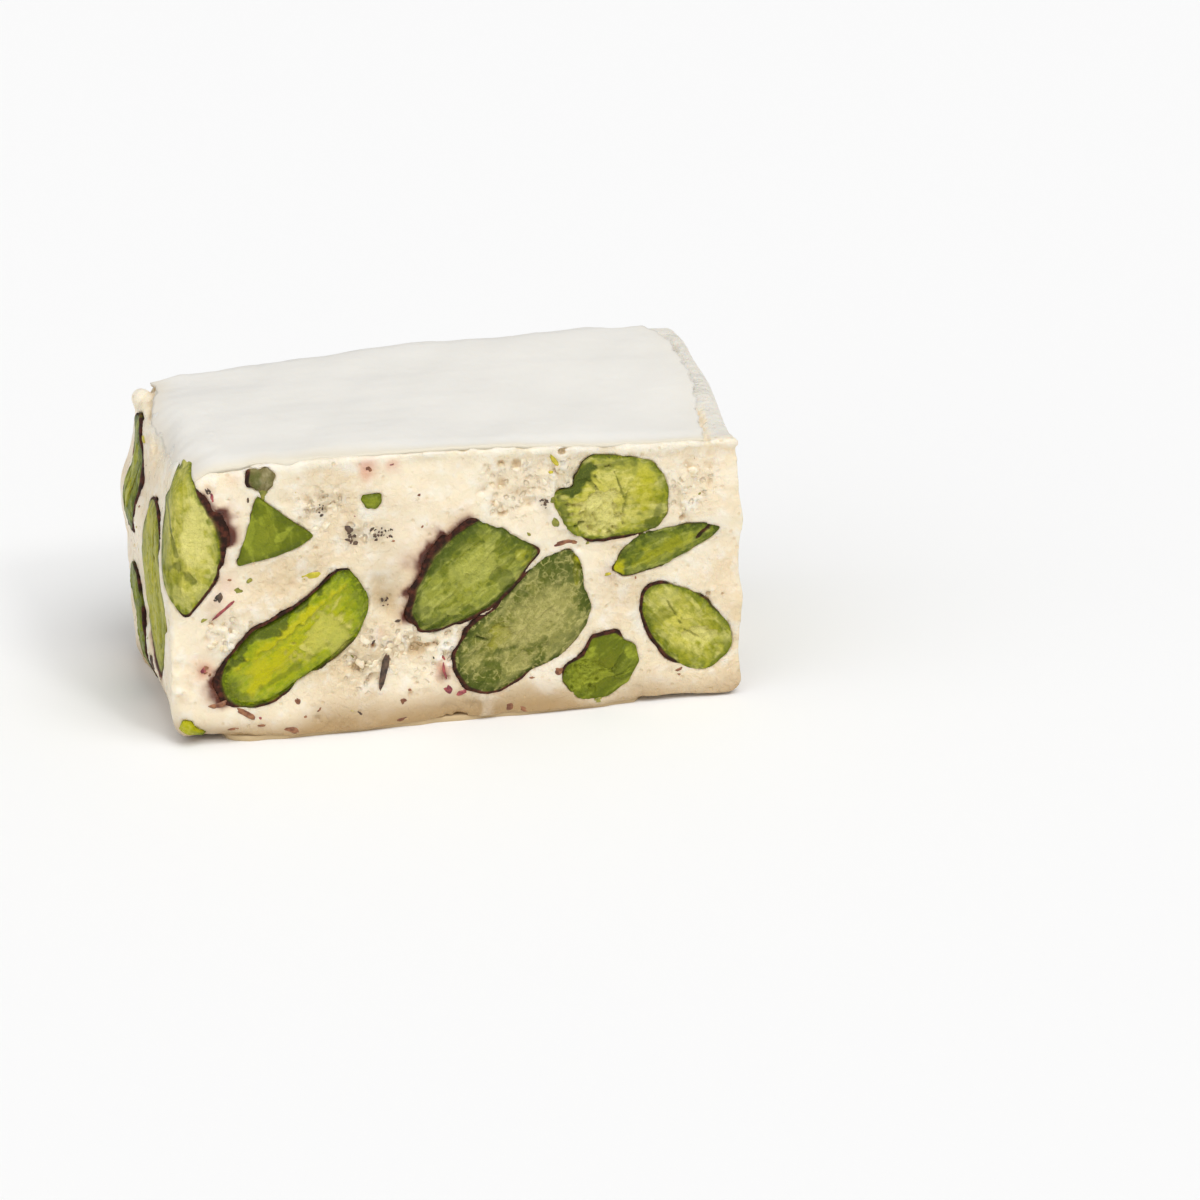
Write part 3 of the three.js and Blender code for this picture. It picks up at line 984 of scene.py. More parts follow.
    def facets(self, seat: Array) -> tuple[Array, Array, Array]:
        """The small planes that the cut broke into.

        Args:
            seat: the points before they are settled on the block.

        Returns:
            Height in mm and shade, -1 dark to 1 pale, of the plane that each point lies on, and how close
            to 1 the point is to being on a ridge between two of them.
        """
        long, across, _ = self.axes
        flat = seat - self.centre
        u = flat @ long + 0.55 * RAG.at(seat, 1.4) + 0.22 * RAG.at(seat + 5, 0.5)
        v = flat @ across + 0.4 * RAG.at(seat + 9, 1.2) + 0.18 * RAG.at(seat + 3, 0.45)
        draw = np.random.default_rng(int(self.length * 10 + abs(self.at[0]) * 37))
        count = int(self.length * self.width / 3.0) + 3
        sites = draw.uniform(-0.5, 0.5, (count, 2)) * (self.length, self.width)
        tilt = draw.uniform(-0.08, 0.08, (count, 2))
        lift = draw.uniform(-0.09, 0.09, count)
        shade = draw.uniform(-1, 1, count)
        far = np.hypot((u[:, None] - sites[:, 0]) * 0.6, v[:, None] - sites[:, 1])
        near = far.argmin(1)
        first, second = np.partition(far, 1, axis=1)[:, :2].T
        ridge = smooth(1 - (second - first) / 0.2) * smooth(0.5 + 2 * RAG.at(seat + 21, 1.9))
        slope = (u - sites[near, 0]) * tilt[near, 0] + (v - sites[near, 1]) * tilt[near, 1]
        return lift[near] + np.clip(slope, -0.12, 0.12), shade[near], ridge


F, B, L, R = Side
PALE, DARK, YELLOW, HUSK = Tint

KERNELS = (
    Kernel(
        "nut_front_corner", F, (-25.3, 20.2), 97, 17, 6.6, Cut.PALE, blunt=1.5, yaw=-26, pitch=-16,
        crumb=0.08, flake=0.55, fibre=0.7,
        skins=each(Skin, (-88, -30, 0.3), (-30, 4, 0.6), (4, 44, 1.15), (44, 68, 0.7), (100, 160, 0.12)),
        corners=(
            (-27, 29), (-25.9, 27.9), (-24.6, 25.7), (-23.2, 22.8), (-22.5, 20.5), (-22.5, 19.1),
            (-22.8, 17.5), (-23.8, 15.7), (-25.4, 13.2), (-26.7, 14.6), (-27.8, 16.4), (-28.4, 20.5),
            (-28.1, 24.2), (-27.2, 24.9),
        ),
        marks=each(
            Mark, (-26.4, 18.2, 2.4, 1, 30, DARK, 0.7, 0.2, 0.8),
            (-25.6, 17.4, 0.8, 1.9, 30, DARK, 0.65, 0.2, 0.7),
            (-26.6, 21.4, 0.55, 5.4, 10, DARK, 0.7, 0.14, 0.5), (-26.4, 15.4, 1.6, 2.4, 30, PALE, 0.5),
            (-24.3, 21, 2.6, 8.4, 4, PALE, 0.75, -0.1, 0.8, 0.12),
            (-24.6, 15.6, 1.4, 2.6, 10, PALE, 0.5, 0, 0.6, 0.1),
            (-26.1, 27.6, 0.9, 2.8, 14, DARK, 0.8, 0.15, 0.7),
            (-26.3, 28, 0.4, 2.2, 14, HUSK, 0.9, 0.25, 0.5),
            (-22.7, 21.5, 0.8, 6, 8, YELLOW, 0.4, 0, 0.7, 0.1),
        ),
    ),
    Kernel(
        "nut_front_wedge", F, (-17.6, 21.2), 108, 6.4, 3.8, Cut.OLIVE, taper=-0.95, blunt=4, crumb=0.02,
        crown=0.2, flake=0.5, fibre=0.1,
        corners=(
            (-18.4, 24.4), (-16.8, 22.9), (-13.5, 19.9), (-15.2, 18.9), (-17.6, 18.1), (-20.4, 17.5),
            (-19.9, 20),
        ),
        marks=each(
            Mark, (-16.4, 20.3, 2.4, 0.7, 30, PALE, 0.6, -0.08, 0.7, 0.05),
            (-16.4, 22, 3, 1.2, -42, DARK, 0.4, 0, 0.8), (-16.6, 18.6, 5.6, 0.8, 20, DARK, 0.45, 0, 0.8),
            (-19.4, 20.4, 0.8, 5, -14, PALE, 0.45, 0, 0.8),
        ),
    ),
    Kernel(
        "nut_front_long", F, (-15.5, 9.7), 39, 16.8, 6.4, Cut.BRIGHT, bend=-0.3, blunt=2.8, proud=0.15,
        crown=0.3, bevel=0.5, crumb=0.015, flake=0.14, fibre=0.22,
        skins=each(
            Skin, (60, 205, 0.42), (204, 217, 1.15), (205, 243, 0.22), (243, 260, 0.32), (311, 350, 0.26),
        ),
        corners=(
            (-22.2, 6.4), (-21.8, 4.8), (-20.9, 3.9), (-19.6, 3.6), (-17.8, 4), (-14.4, 6), (-11.2, 8.2),
            (-9.1, 9.9), (-8.5, 11.6), (-8.4, 13.3), (-9, 15), (-9.9, 16.3), (-11.3, 16.2), (-13.9, 13.9),
            (-15.6, 12.7), (-19.2, 10.9), (-21.3, 8.7),
        ),
        marks=each(
            Mark, (-16.4, 12.2, 14, 1.5, 39, DARK, 0.85, 0.22, 0.5, 0.02),
            (-21.2, 5.6, 2.4, 2.4, 40, DARK, 0.55, 0.05, 0.7),
            (-17.8, 7.7, 5.6, 3, 30, YELLOW, 0.75, -0.08, 0.9),
            # this yellow line along the raised crest is a painted highlight
            (-16.2, 10.9, 10.5, 0.9, 36, YELLOW, 1, -0.24),
            (-18.6, 6.6, 4.4, 2.4, 34, YELLOW, 0.9, -0.05, 0.8),
            (-12.4, 10.2, 5.4, 4.2, 42, PALE, 0.6, 0.16, 0.4, 0.06),
            (-14.2, 8.8, 2.6, 0.5, -48, PALE, 1, -0.1, 0.5, 0.05),
            (-10.8, 11.2, 2.8, 0.45, -40, PALE, 1, -0.1, 0.5, 0.05),
            (-12.3, 9.4, 2, 0.3, -44, PALE, 0.9, -0.08, 0.5, 0.05),
            (-11.6, 12.9, 2, 0.3, 56, PALE, 0.7, -0.08),
            (-9.6, 13.4, 3.6, 2.2, 66, DARK, 0.2, 0.1, 0.8, 0.04),
            (-15.6, 7.2, 9.6, 0.8, 32, DARK, 0.45, 0, 0.8),
        ),
    ),
    Kernel(
        "nut_front_middle", F, (1.3, 14.7), 37, 12.8, 6.6, Cut.DEEP, taper=0.18, blunt=2.8, crumb=0.03,
        crown=0.22, bevel=0.28, flake=0.8, fibre=0.7,
        skins=each(Skin, (92, 124, 0.9), (124, 188, 1.4), (186, 212, 0.8), (200, 262, 0.3), (262, 375, 0.45)),
        corners=(
            (2.2, 20), (5.1, 18.4), (7.9, 16.3), (6.6, 14.9), (5.3, 13.2), (3, 11.3), (0.6, 10.2),
            (-1.5, 9.5), (-3.4, 9.6), (-4.1, 11.6), (-3.4, 13.9), (-1.8, 16.6), (0, 18.4),
        ),
        marks=each(
            Mark, (1, 14.4, 8, 3.4, 38, PALE, 0.5, 0.04, 0.9, 0.06),
            (4.2, 14.2, 2, 2.6, 20, DARK, 0.6, 0.12, 0.5), (5.9, 13.9, 0.8, 1.1, 20, PALE, 0.95, 0.12, 0.4),
            (6.4, 16.1, 1.9, 1.4, 60, YELLOW, 0.5, -0.08), (-0.6, 17, 8.4, 1.1, 41, DARK, 0.75, 0.08),
            (5.6, 18.2, 6.4, 1.1, -36, DARK, 0.7, 0.08), (-3.6, 11.2, 2.2, 1.5, 50, DARK, 0.6, 0.05, 0.7),
            (-1.4, 12.6, 3, 0.35, 40, PALE, 0.7, -0.1),
        ),
    ),
    Kernel(
        "nut_front_large", F, (6.75, 9.3), 47, 15.8, 7.4, Cut.GREY, taper=0.02, blunt=2.8, crown=0.3,
        bevel=0.2, crumb=0.08, flake=1, fibre=0.3,
        skins=each(Skin, (172, 222, 0.6), (225, 262, 0.36), (262, 330, 0.12), (95, 172, 0.3)),
        corners=(
            (8.4, 15.6), (10.8, 16.3), (12, 15.2), (12.2, 12.4), (13, 10.4), (12.3, 8.4), (9.9, 5.7),
            (6.2, 4.2), (4.2, 3.1), (2.6, 2.9), (1.2, 3.5), (0, 5.2), (0, 6.8), (1.3, 9.2), (3.6, 11),
            (6, 13.4),
        ),
        marks=each(
            Mark, (9.8, 14.2, 4.4, 3.8, 40, DARK, 0.75, 0.04, 0.6, 0.04),
            (7.4, 9.6, 9, 4.4, 45, PALE, 0.5, 0, 0.8, 0.12), (6, 9.4, 3.4, 0.35, 62, PALE, 0.8, -0.1),
            (9, 8.4, 3.8, 0.3, 58, PALE, 0.7, -0.08), (4.2, 8.4, 2.6, 2.2, 70, YELLOW, 0.35, 0.3, 0.35),
            (4.9, 7, 2.6, 0.5, 15, DARK, 0.7, 0.1), (2.3, 8.2, 1.9, 0.25, -22, DARK, 0.95, 0.3, 0.5),
            (7.7, 10.2, 4.2, 0.4, 34, PALE, 0.85, -0.14, 0.6, 0.05),
            (9.4, 10.6, 1.6, 0.35, -42, PALE, 0.8, -0.12),
            (2.4, 4.6, 4.4, 2.2, 25, DARK, 0.5, 0.06, 0.6, 0.08),
            (11.5, 13.6, 0.9, 3.6, -8, YELLOW, 0.75, 0.05, 0.5, 0.3),
            (6.6, 5.4, 4.2, 0.7, 46, PALE, 0.35, -0.04, 0.6, 0.1),
        ),
    ),
    Kernel(
        "nut_front_top", F, (14.8, 21.1), -1, 10.9, 7.9, Cut.PALE, taper=0.06, blunt=2.8, crumb=0.05,
        crown=0.15, flake=0.6, fibre=0.1,
        # the widest stretch of skin, along its lower edge from 246 to 300 degrees, is a painted shadow line
        # under the kernel
        skins=each(Skin, (246, 300, 0.38), (300, 345, 0.12), (345, 400, 0.06), (80, 165, 0.08)),
        corners=(
            (11.3, 22.2), (11.5, 23.5), (12.1, 24.7), (13.3, 25.2), (17.2, 24.8), (18.7, 24.2), (19.8, 22.8),
            (20.2, 21.3), (20.1, 19.2), (19.2, 17.8), (17.6, 17.2), (13.2, 17.1), (11.4, 17.5), (10.3, 18.5),
            (9.8, 19.8), (9.3, 20.9), (9.2, 21.9),
        ),
        marks=each(
            Mark, (13.9, 20.2, 3.8, 5.2, 0, PALE, 1, 0.3, 0.2, 0.3),
            (12.6, 18.3, 3.2, 2, 6, PALE, 0.85, 0.1, 0.4, 0.3), (15.5, 22.4, 0.28, 2, 20, DARK, 0.6, 0.16),
            (16.1, 20.4, 0.28, 2.6, -10, DARK, 0.5, 0.16), (13, 22.4, 1.8, 0.3, -40, DARK, 0.5, 0.14, 0.5),
            (14.2, 18.6, 2.2, 0.3, 12, DARK, 0.5, 0.14, 0.5), (18, 21.3, 3, 5.4, 0, YELLOW, 0.55, -0.12, 0.8),
            (11.9, 23.2, 1.7, 4, -38, DARK, 1, 0.1, 0.7),
            (10.2, 19.9, 1.6, 4.2, 8, DARK, 0.7, 0.08, 0.7, 0.1),
            (11.9, 18.5, 1.1, 0.28, 10, DARK, 0.95, 0.3, 0.5), (14.8, 24.4, 7, 0.9, 2, DARK, 0.55, 0.03, 0.8),
            (18.9, 18.4, 3, 2.2, 40, DARK, 0.75, 0.04, 0.7),
        ),
    ),
    Kernel(
        "nut_front_sliver", F, (20.2, 15.3), 20, 10.4, 3.6, Cut.DEEP, blunt=1.9, crown=0.2, flake=0.4,
        fibre=0.4, skins=each(Skin, (195, 250, 0.22), (120, 190, 0.12), (20, 60, 0.1)),
        corners=(
            (14.9, 13.8), (16.2, 16), (17.9, 17), (20, 17.6), (24, 17.6), (25.3, 17.1), (24.2, 16),
            (20.4, 14), (16.2, 13.1),
        ),
        marks=each(
            Mark, (23.4, 16.6, 2.4, 0.45, 42, HUSK, 0.95, 0.1, 0.4, 0.1),
            (15.7, 14, 2.2, 1.7, 30, YELLOW, 0.9, 0, 0.8, 0.1),
            (19.4, 15.4, 7, 1.2, 20, YELLOW, 0.35, -0.06, 0.9, 0.05),
            (19.6, 13.9, 5.4, 0.5, 14, PALE, 0.4, -0.04, 0.7, 0.05),
        ),
    ),
    Kernel(
        "nut_front_low", F, (13.4, 4), 30, 7.6, 5.6, Cut.OLIVE, taper=0.1, crumb=0.16, flake=1, fibre=0,
        skins=each(Skin, (60, 175, 0.5), (175, 215, 0.15)),
        corners=(
            (10.1, 3.3), (10.5, 4.6), (12.1, 5.4), (13, 7), (15.2, 7.3), (17.2, 6), (17.4, 4.4), (16.4, 2.5),
            (14.4, 1.2), (12.8, 0.9), (11.4, 1.3),
        ),
        marks=each(Mark, (12.4, 3.6, 4.2, 3, 20, PALE, 0.4, 0.05, 0.6, 0.3)),
    ),
    Kernel(
        "nut_front_right", F, (22, 7.6), -48, 10.6, 6, Cut.PALE, taper=0.2, crumb=0.08,
        skins=each(Skin, (120, 250, 0.4), (20, 60, 0.2)),
        marks=each(
            Mark, (20.9, 9, 2.8, 0.3, -62, DARK, 0.55, 0.15), (22.4, 6.8, 3.4, 0.3, -34, DARK, 0.5, 0.15),
            (19.6, 8.6, 2, 3.4, -40, DARK, 0.4, 0.05, 0.8),
            (23.4, 6.2, 3.6, 2.6, -40, PALE, 0.7, 0.1, 0.5, 0.2),
        ),
    ),
    Kernel(
        "nut_left_tall", L, (6.3, 13), 100, 16.2, 10.2, Cut.LIGHT, taper=0.1, blunt=2, yaw=8, crumb=0.04,
        skins=each(Skin, (40, 130, 0.3), (240, 280, 0.8), (130, 200, 0.15)),
        marks=each(
            Mark, (6.4, 15.5, 2.6, 8.5, 10, YELLOW, 0.6, -0.15),
            (7.8, 17.4, 0.4, 6.6, 6, HUSK, 0.9, 0.2, 0.5), (5, 19, 2.2, 2.6, 20, PALE, 0.5, 0, 0.6, 0.1),
            (9.2, 12.5, 1.6, 9, 10, DARK, 0.4, 0.1), (6.2, 9.5, 2.4, 4, 0, PALE, 0.5, 0.1, 0.5, 0.15),
        ),
    ),
    Kernel(
        "nut_left_low", L, (-2.8, 6.2), 140, 12.2, 5.2, Cut.OLIVE, blunt=2, proud=0.2, crumb=0.08,
        skins=each(Skin, (270, 400, 0.35), (80, 120, 0.25)),
        marks=each(Mark, (-2.6, 6.6, 6.5, 1.6, 140, PALE, 0.4, 0.05, 0.6, 0.15)),
    ),
    Kernel(
        "nut_left_high", L, (-5.4, 20.2), 98, 10.8, 4.4, Cut.DEEP, taper=-0.1, proud=0.1,
        skins=each(Skin, (-70, 80, 0.6), (200, 270, 0.6), (100, 160, 0.3)),
        marks=each(
            Mark, (-5.2, 21.6, 1.6, 4.5, 8, PALE, 0.4, 0.08, 0.6, 0.1),
            (-4.9, 17.8, 1.2, 4.6, 8, YELLOW, 0.5, -0.12), (-5.9, 18.4, 0.45, 6, 6, HUSK, 0.9, 0.2, 0.5),
            (-4.2, 19.4, 0.3, 3.4, -8, HUSK, 0.8, 0.15, 0.5),
        ),
    ),
    Kernel(
        "nut_right_front", R, (-8, 19.4), 24, 12.2, 7, Cut.DEEP, taper=0.15, crumb=0.08,
        skins=each(Skin, (60, 190, 0.6), (300, 340, 0.3)),
        marks=each(
            Mark, (-7.6, 19.2, 7, 3, 26, PALE, 0.55, 0.05, 0.6, 0.15),
            (-6, 20.4, 4.5, 0.35, 34, DARK, 0.7, 0.2, 0.5),
        ),
    ),
    Kernel(
        "nut_right_middle", R, (0.8, 11.4), 58, 13.4, 7, Cut.BRIGHT, bend=0.5, crown=0.35, bevel=0.6,
        skins=each(Skin, (110, 260, 0.5), (-20, 30, 0.15)),
        marks=each(
            Mark, (0.2, 12.4, 9, 1.5, 60, DARK, 0.6, 0.2), (1.6, 9.6, 5, 3, 56, YELLOW, 0.6, -0.05, 0.8),
            (2, 13.6, 3.4, 2.2, 40, PALE, 0.6, 0.1, 0.5, 0.15),
        ),
    ),
    Kernel(
        "nut_right_low", R, (-7.8, 6), -14, 9.6, 6.2, Cut.GREY, taper=-0.2, crumb=0.14,
        skins=each(Skin, (150, 290, 0.45)),
        marks=each(Mark, (-7.6, 6.4, 5, 3, -14, PALE, 0.6, 0.1, 0.6, 0.25)),
    ),
    Kernel(
        "nut_right_back", R, (8, 20.2), -34, 10.4, 6.6, Cut.PALE, blunt=2.5, crumb=0.1,
        skins=each(Skin, (-60, 40, 0.35), (130, 200, 0.25)),
        marks=each(
            Mark, (8.4, 19.6, 4, 3.6, -30, PALE, 1, 0.15, 0.3, 0.3),
            (6.2, 21.6, 3.4, 1.6, -50, DARK, 0.6, 0.1),
        ),
    ),
    Kernel(
        "nut_right_end", R, (8.8, 6), 8, 8.8, 6.2, Cut.OLIVE, taper=0.25, crumb=0.05,
        skins=each(Skin, (180, 300, 0.6)), marks=each(Mark, (8.8, 6.6, 3.6, 1.4, 20, PALE, 0.5, 0, 0.6, 0.2)),
    ),
    Kernel(
        "nut_back_1", B, (-19.6, 18.6), 62, 12.6, 7, Cut.DEEP, taper=0.12, crumb=0.06,
        skins=each(Skin, (100, 250, 0.7), (-40, 0, 0.2)),
        marks=each(
            Mark, (-19.4, 18.4, 7.5, 3, 62, PALE, 0.5, 0.05, 0.7, 0.12),
            (-20.6, 20.2, 3, 0.3, 80, DARK, 0.8, 0.2, 0.5),
        ),
    ),
    Kernel(
        "nut_back_2", B, (-16.6, 6.6), 18, 13.4, 6.6, Cut.BRIGHT, blunt=2.5, crown=0.35, bevel=0.6,
        crumb=0.03, skins=each(Skin, (60, 200, 0.4), (250, 290, 0.2)),
        marks=each(
            Mark, (-17, 8.2, 10, 1.5, 18, DARK, 0.65, 0.2), (-18.2, 5.8, 5, 3, 18, YELLOW, 0.6, -0.05, 0.8),
            (-13.6, 6.8, 4, 3, 18, PALE, 0.55, 0.1, 0.5, 0.12),
            (-15.4, 6, 2.8, 0.4, -60, PALE, 0.7, -0.14, 0.5),
        ),
    ),
    Kernel(
        "nut_back_3", B, (-9, 16.6), -34, 14.2, 7.2, Cut.GREY, bend=0.4, crown=0.25, crumb=0.12,
        skins=each(Skin, (100, 200, 0.5), (230, 300, 0.5)), dents=each(Dent, (-20, 8, 0.8)),
        marks=each(
            Mark, (-8.6, 16.2, 8, 4, -34, PALE, 0.5, 0, 0.7, 0.16),
            (-10.6, 18.2, 2.6, 1.8, -20, YELLOW, 0.4, 0.35, 0.3), (-8, 16.4, 5, 0.3, -30, DARK, 0.6, 0.2),
        ),
    ),
    Kernel(
        "nut_back_4", B, (-4, 5.6), 10, 9.2, 6, Cut.OLIVE, taper=0.3, crumb=0.08,
        skins=each(Skin, (150, 230, 0.5), (20, 60, 0.2)),
        marks=each(Mark, (-3.6, 5.6, 4.4, 1.8, 20, PALE, 0.5, 0, 0.6, 0.2)),
    ),
    Kernel(
        "nut_back_5", B, (1.6, 19.6), 26, 11.8, 7.4, Cut.PALE, blunt=2.4, crumb=0.08,
        skins=each(Skin, (230, 320, 0.4), (90, 130, 0.2)), dents=each(Dent, (150, 9, 1)),
        marks=each(
            Mark, (1.2, 19.4, 4.6, 4, 30, PALE, 1, 0.16, 0.3, 0.3),
            (4.2, 21, 3.4, 2.4, 20, YELLOW, 0.4, -0.05, 0.8), (-1.8, 19.6, 1.6, 3.6, 20, DARK, 0.7, 0.1),
        ),
    ),
    Kernel(
        "nut_back_6", B, (6.2, 9.4), 68, 14.4, 6.4, Cut.DEEP, taper=-0.12, proud=0.25, crown=0.3, bevel=0.5,
        skins=each(Skin, (130, 250, 0.9), (-30, 20, 0.2)),
        marks=each(
            Mark, (6.4, 9.2, 8.8, 3, 68, PALE, 0.5, 0, 0.7, 0.1),
            (4.8, 9.6, 9, 1.2, 70, DARK, 0.6, 0.12, 0.7),
        ),
    ),
    Kernel(
        "nut_back_7", B, (12.8, 18.8), -20, 10.4, 7.2, Cut.BRIGHT, taper=0.2, crumb=0.1,
        skins=each(Skin, (200, 330, 0.3)),
        marks=each(
            Mark, (12.6, 18.6, 5, 3.6, -20, PALE, 0.6, 0.1, 0.4, 0.25),
            (10.4, 20.2, 3, 1.4, -30, DARK, 0.7, 0.1),
        ),
    ),
    Kernel(
        "nut_back_8", B, (15.6, 6.4), -40, 12.2, 6.2, Cut.GREY, bend=-0.4, crumb=0.1,
        skins=each(Skin, (120, 250, 0.6), (-60, -20, 0.25)),
        marks=each(
            Mark, (15.8, 6.2, 7, 2.8, -40, PALE, 0.6, 0.05, 0.6, 0.15),
            (14.6, 8, 4.6, 0.35, -46, DARK, 0.7, 0.2, 0.5),
        ),
    ),
    Kernel(
        "nut_back_9", B, (20.6, 15), 78, 11, 5.2, Cut.OLIVE, crumb=0.05,
        skins=each(Skin, (80, 180, 0.35), (240, 290, 0.5)),
        marks=each(Mark, (20.6, 15.4, 5.6, 1.8, 78, YELLOW, 0.5, -0.1, 0.7)),
    ),
    Kernel(
        "chip_front", F, (-7.95, 22.7), -8, 2.1, 1.6, Cut.OLIVE, crumb=0.02, bevel=0.12,
        corners=((-8.9, 23), (-8.6, 23.4), (-7, 23.4), (-7, 22.5), (-7.5, 21.9), (-8.3, 22)),
    ),
    Kernel(
        "chip_top_edge", F, (-18, 25.7), 90, 2, 2.4, Cut.DRY, crumb=0.02, bevel=0.12,
        skins=each(Skin, (145, 200, 0.32)),
        corners=(
            (-18.6, 24.9), (-19, 25.6), (-18.8, 26.6), (-17.3, 26.7), (-16.8, 26.1), (-17, 25.2),
            (-17.7, 24.7),
        ),
        marks=each(Mark, (-18.5, 25.8, 1, 1.8, 0, DARK, 0.6, 0, 0.9)),
    ),
    Kernel(
        "chip_corner", F, (-25.6, 1.9), -24, 2.9, 1.6, Cut.BRIGHT, yaw=-40, proud=0.3, crumb=0.02, bevel=0.2,
        corners=((-26.9, 1.8), (-26.4, 2.7), (-25.7, 2.6), (-25, 1.7), (-24.9, 1), (-26, 1.2)),
        marks=each(Mark, (-25.6, 1.9, 3, 2, 0, YELLOW, 0.8, 0, 0.8)),
    ),
)


# ---- nougat ----
@dataclass(frozen=True)
class Furrow:
    """A groove torn in a side: its two ends on the face, width and depth, in mm."""

    side: Side
    start: Pair
    end: Pair
    width: float
    depth: float

    def carve(self, p: Array, d: Array) -> None:
        """Carves it into the distances d of the points p."""
        a, b = FORM.on(self.side, *self.start), FORM.on(self.side, *self.end)
        near = away(p, (a + b) / 2) < np.linalg.norm(b - a) / 2 + self.width * 3
        q = p[near]
        t = np.clip(((q - a) @ (b - a)) / ((b - a) @ (b - a)), 0, 1)
        off = away(q - a, np.outer(t, b - a)) / self.width + 0.35 * RAG.at(q, 0.9)
        d[near] += self.depth * bell(np.clip(off, 0, 9)) * (0.75 + 0.4 * RAG.at(q, 1.3))


@dataclass(frozen=True)
class Spot:
    """A round place on a side with a radius, and how strong its effect is."""

    side: Side
    at: Pair
    radius: float
    amount: float

    @property
    def centre(self) -> Array:
        """Its middle on the block's plain form."""
        return FORM.on(self.side, *self.at)


def spread(p: Array, spots: tuple[Spot, ...]) -> Array:
    """Largest amount that any of the spots has at each point."""
    total = np.zeros(len(p), np.float32)
    for spot in spots:
        near = np.abs(p - spot.centre).max(1) < spot.radius * 2.2
        q = p[near]
        off = away(q, spot.centre) / spot.radius + 0.35 * RAG.at(q, spot.radius)
        total[near] = np.maximum(total[near], spot.amount * np.exp(-np.clip(off, 0, 9) ** 2.4))
    return total


class Bins:
    """Points sorted into cubes, so that those near a place are found fast."""

    SIZE = 2.0  # mm
    BASE = 1000  # more cubes than lie in a row

    def __init__(self, p: Array) -> None:
        """Sorts the points p."""
        self.low = p.min(0)
        key = self.key(self.cube(p).T)
        self.order = np.argsort(key, kind="stable")
        self.ranked = key[self.order]

    def cube(self, p: Array) -> Array:
        """The cube that each point lies in, as three whole numbers."""
        return np.floor((p - self.low) / self.SIZE).astype(int)

    def key(self, cube: Array) -> Array:
        """One number for each cube."""
        return (cube[0] * self.BASE + cube[1]) * self.BASE + cube[2]

    def near(self, place: Array) -> Array:
        """Numbers of the points in the cube of a place and in the 26 round it."""
        corner = self.cube(place) - 1
        found = []
        for step in np.ndindex(3, 3, 3):
            want = self.key(corner + step)
            first, last = np.searchsorted(self.ranked, [want, want + 1])
            found.append(self.order[first:last])
        return np.concatenate(found)


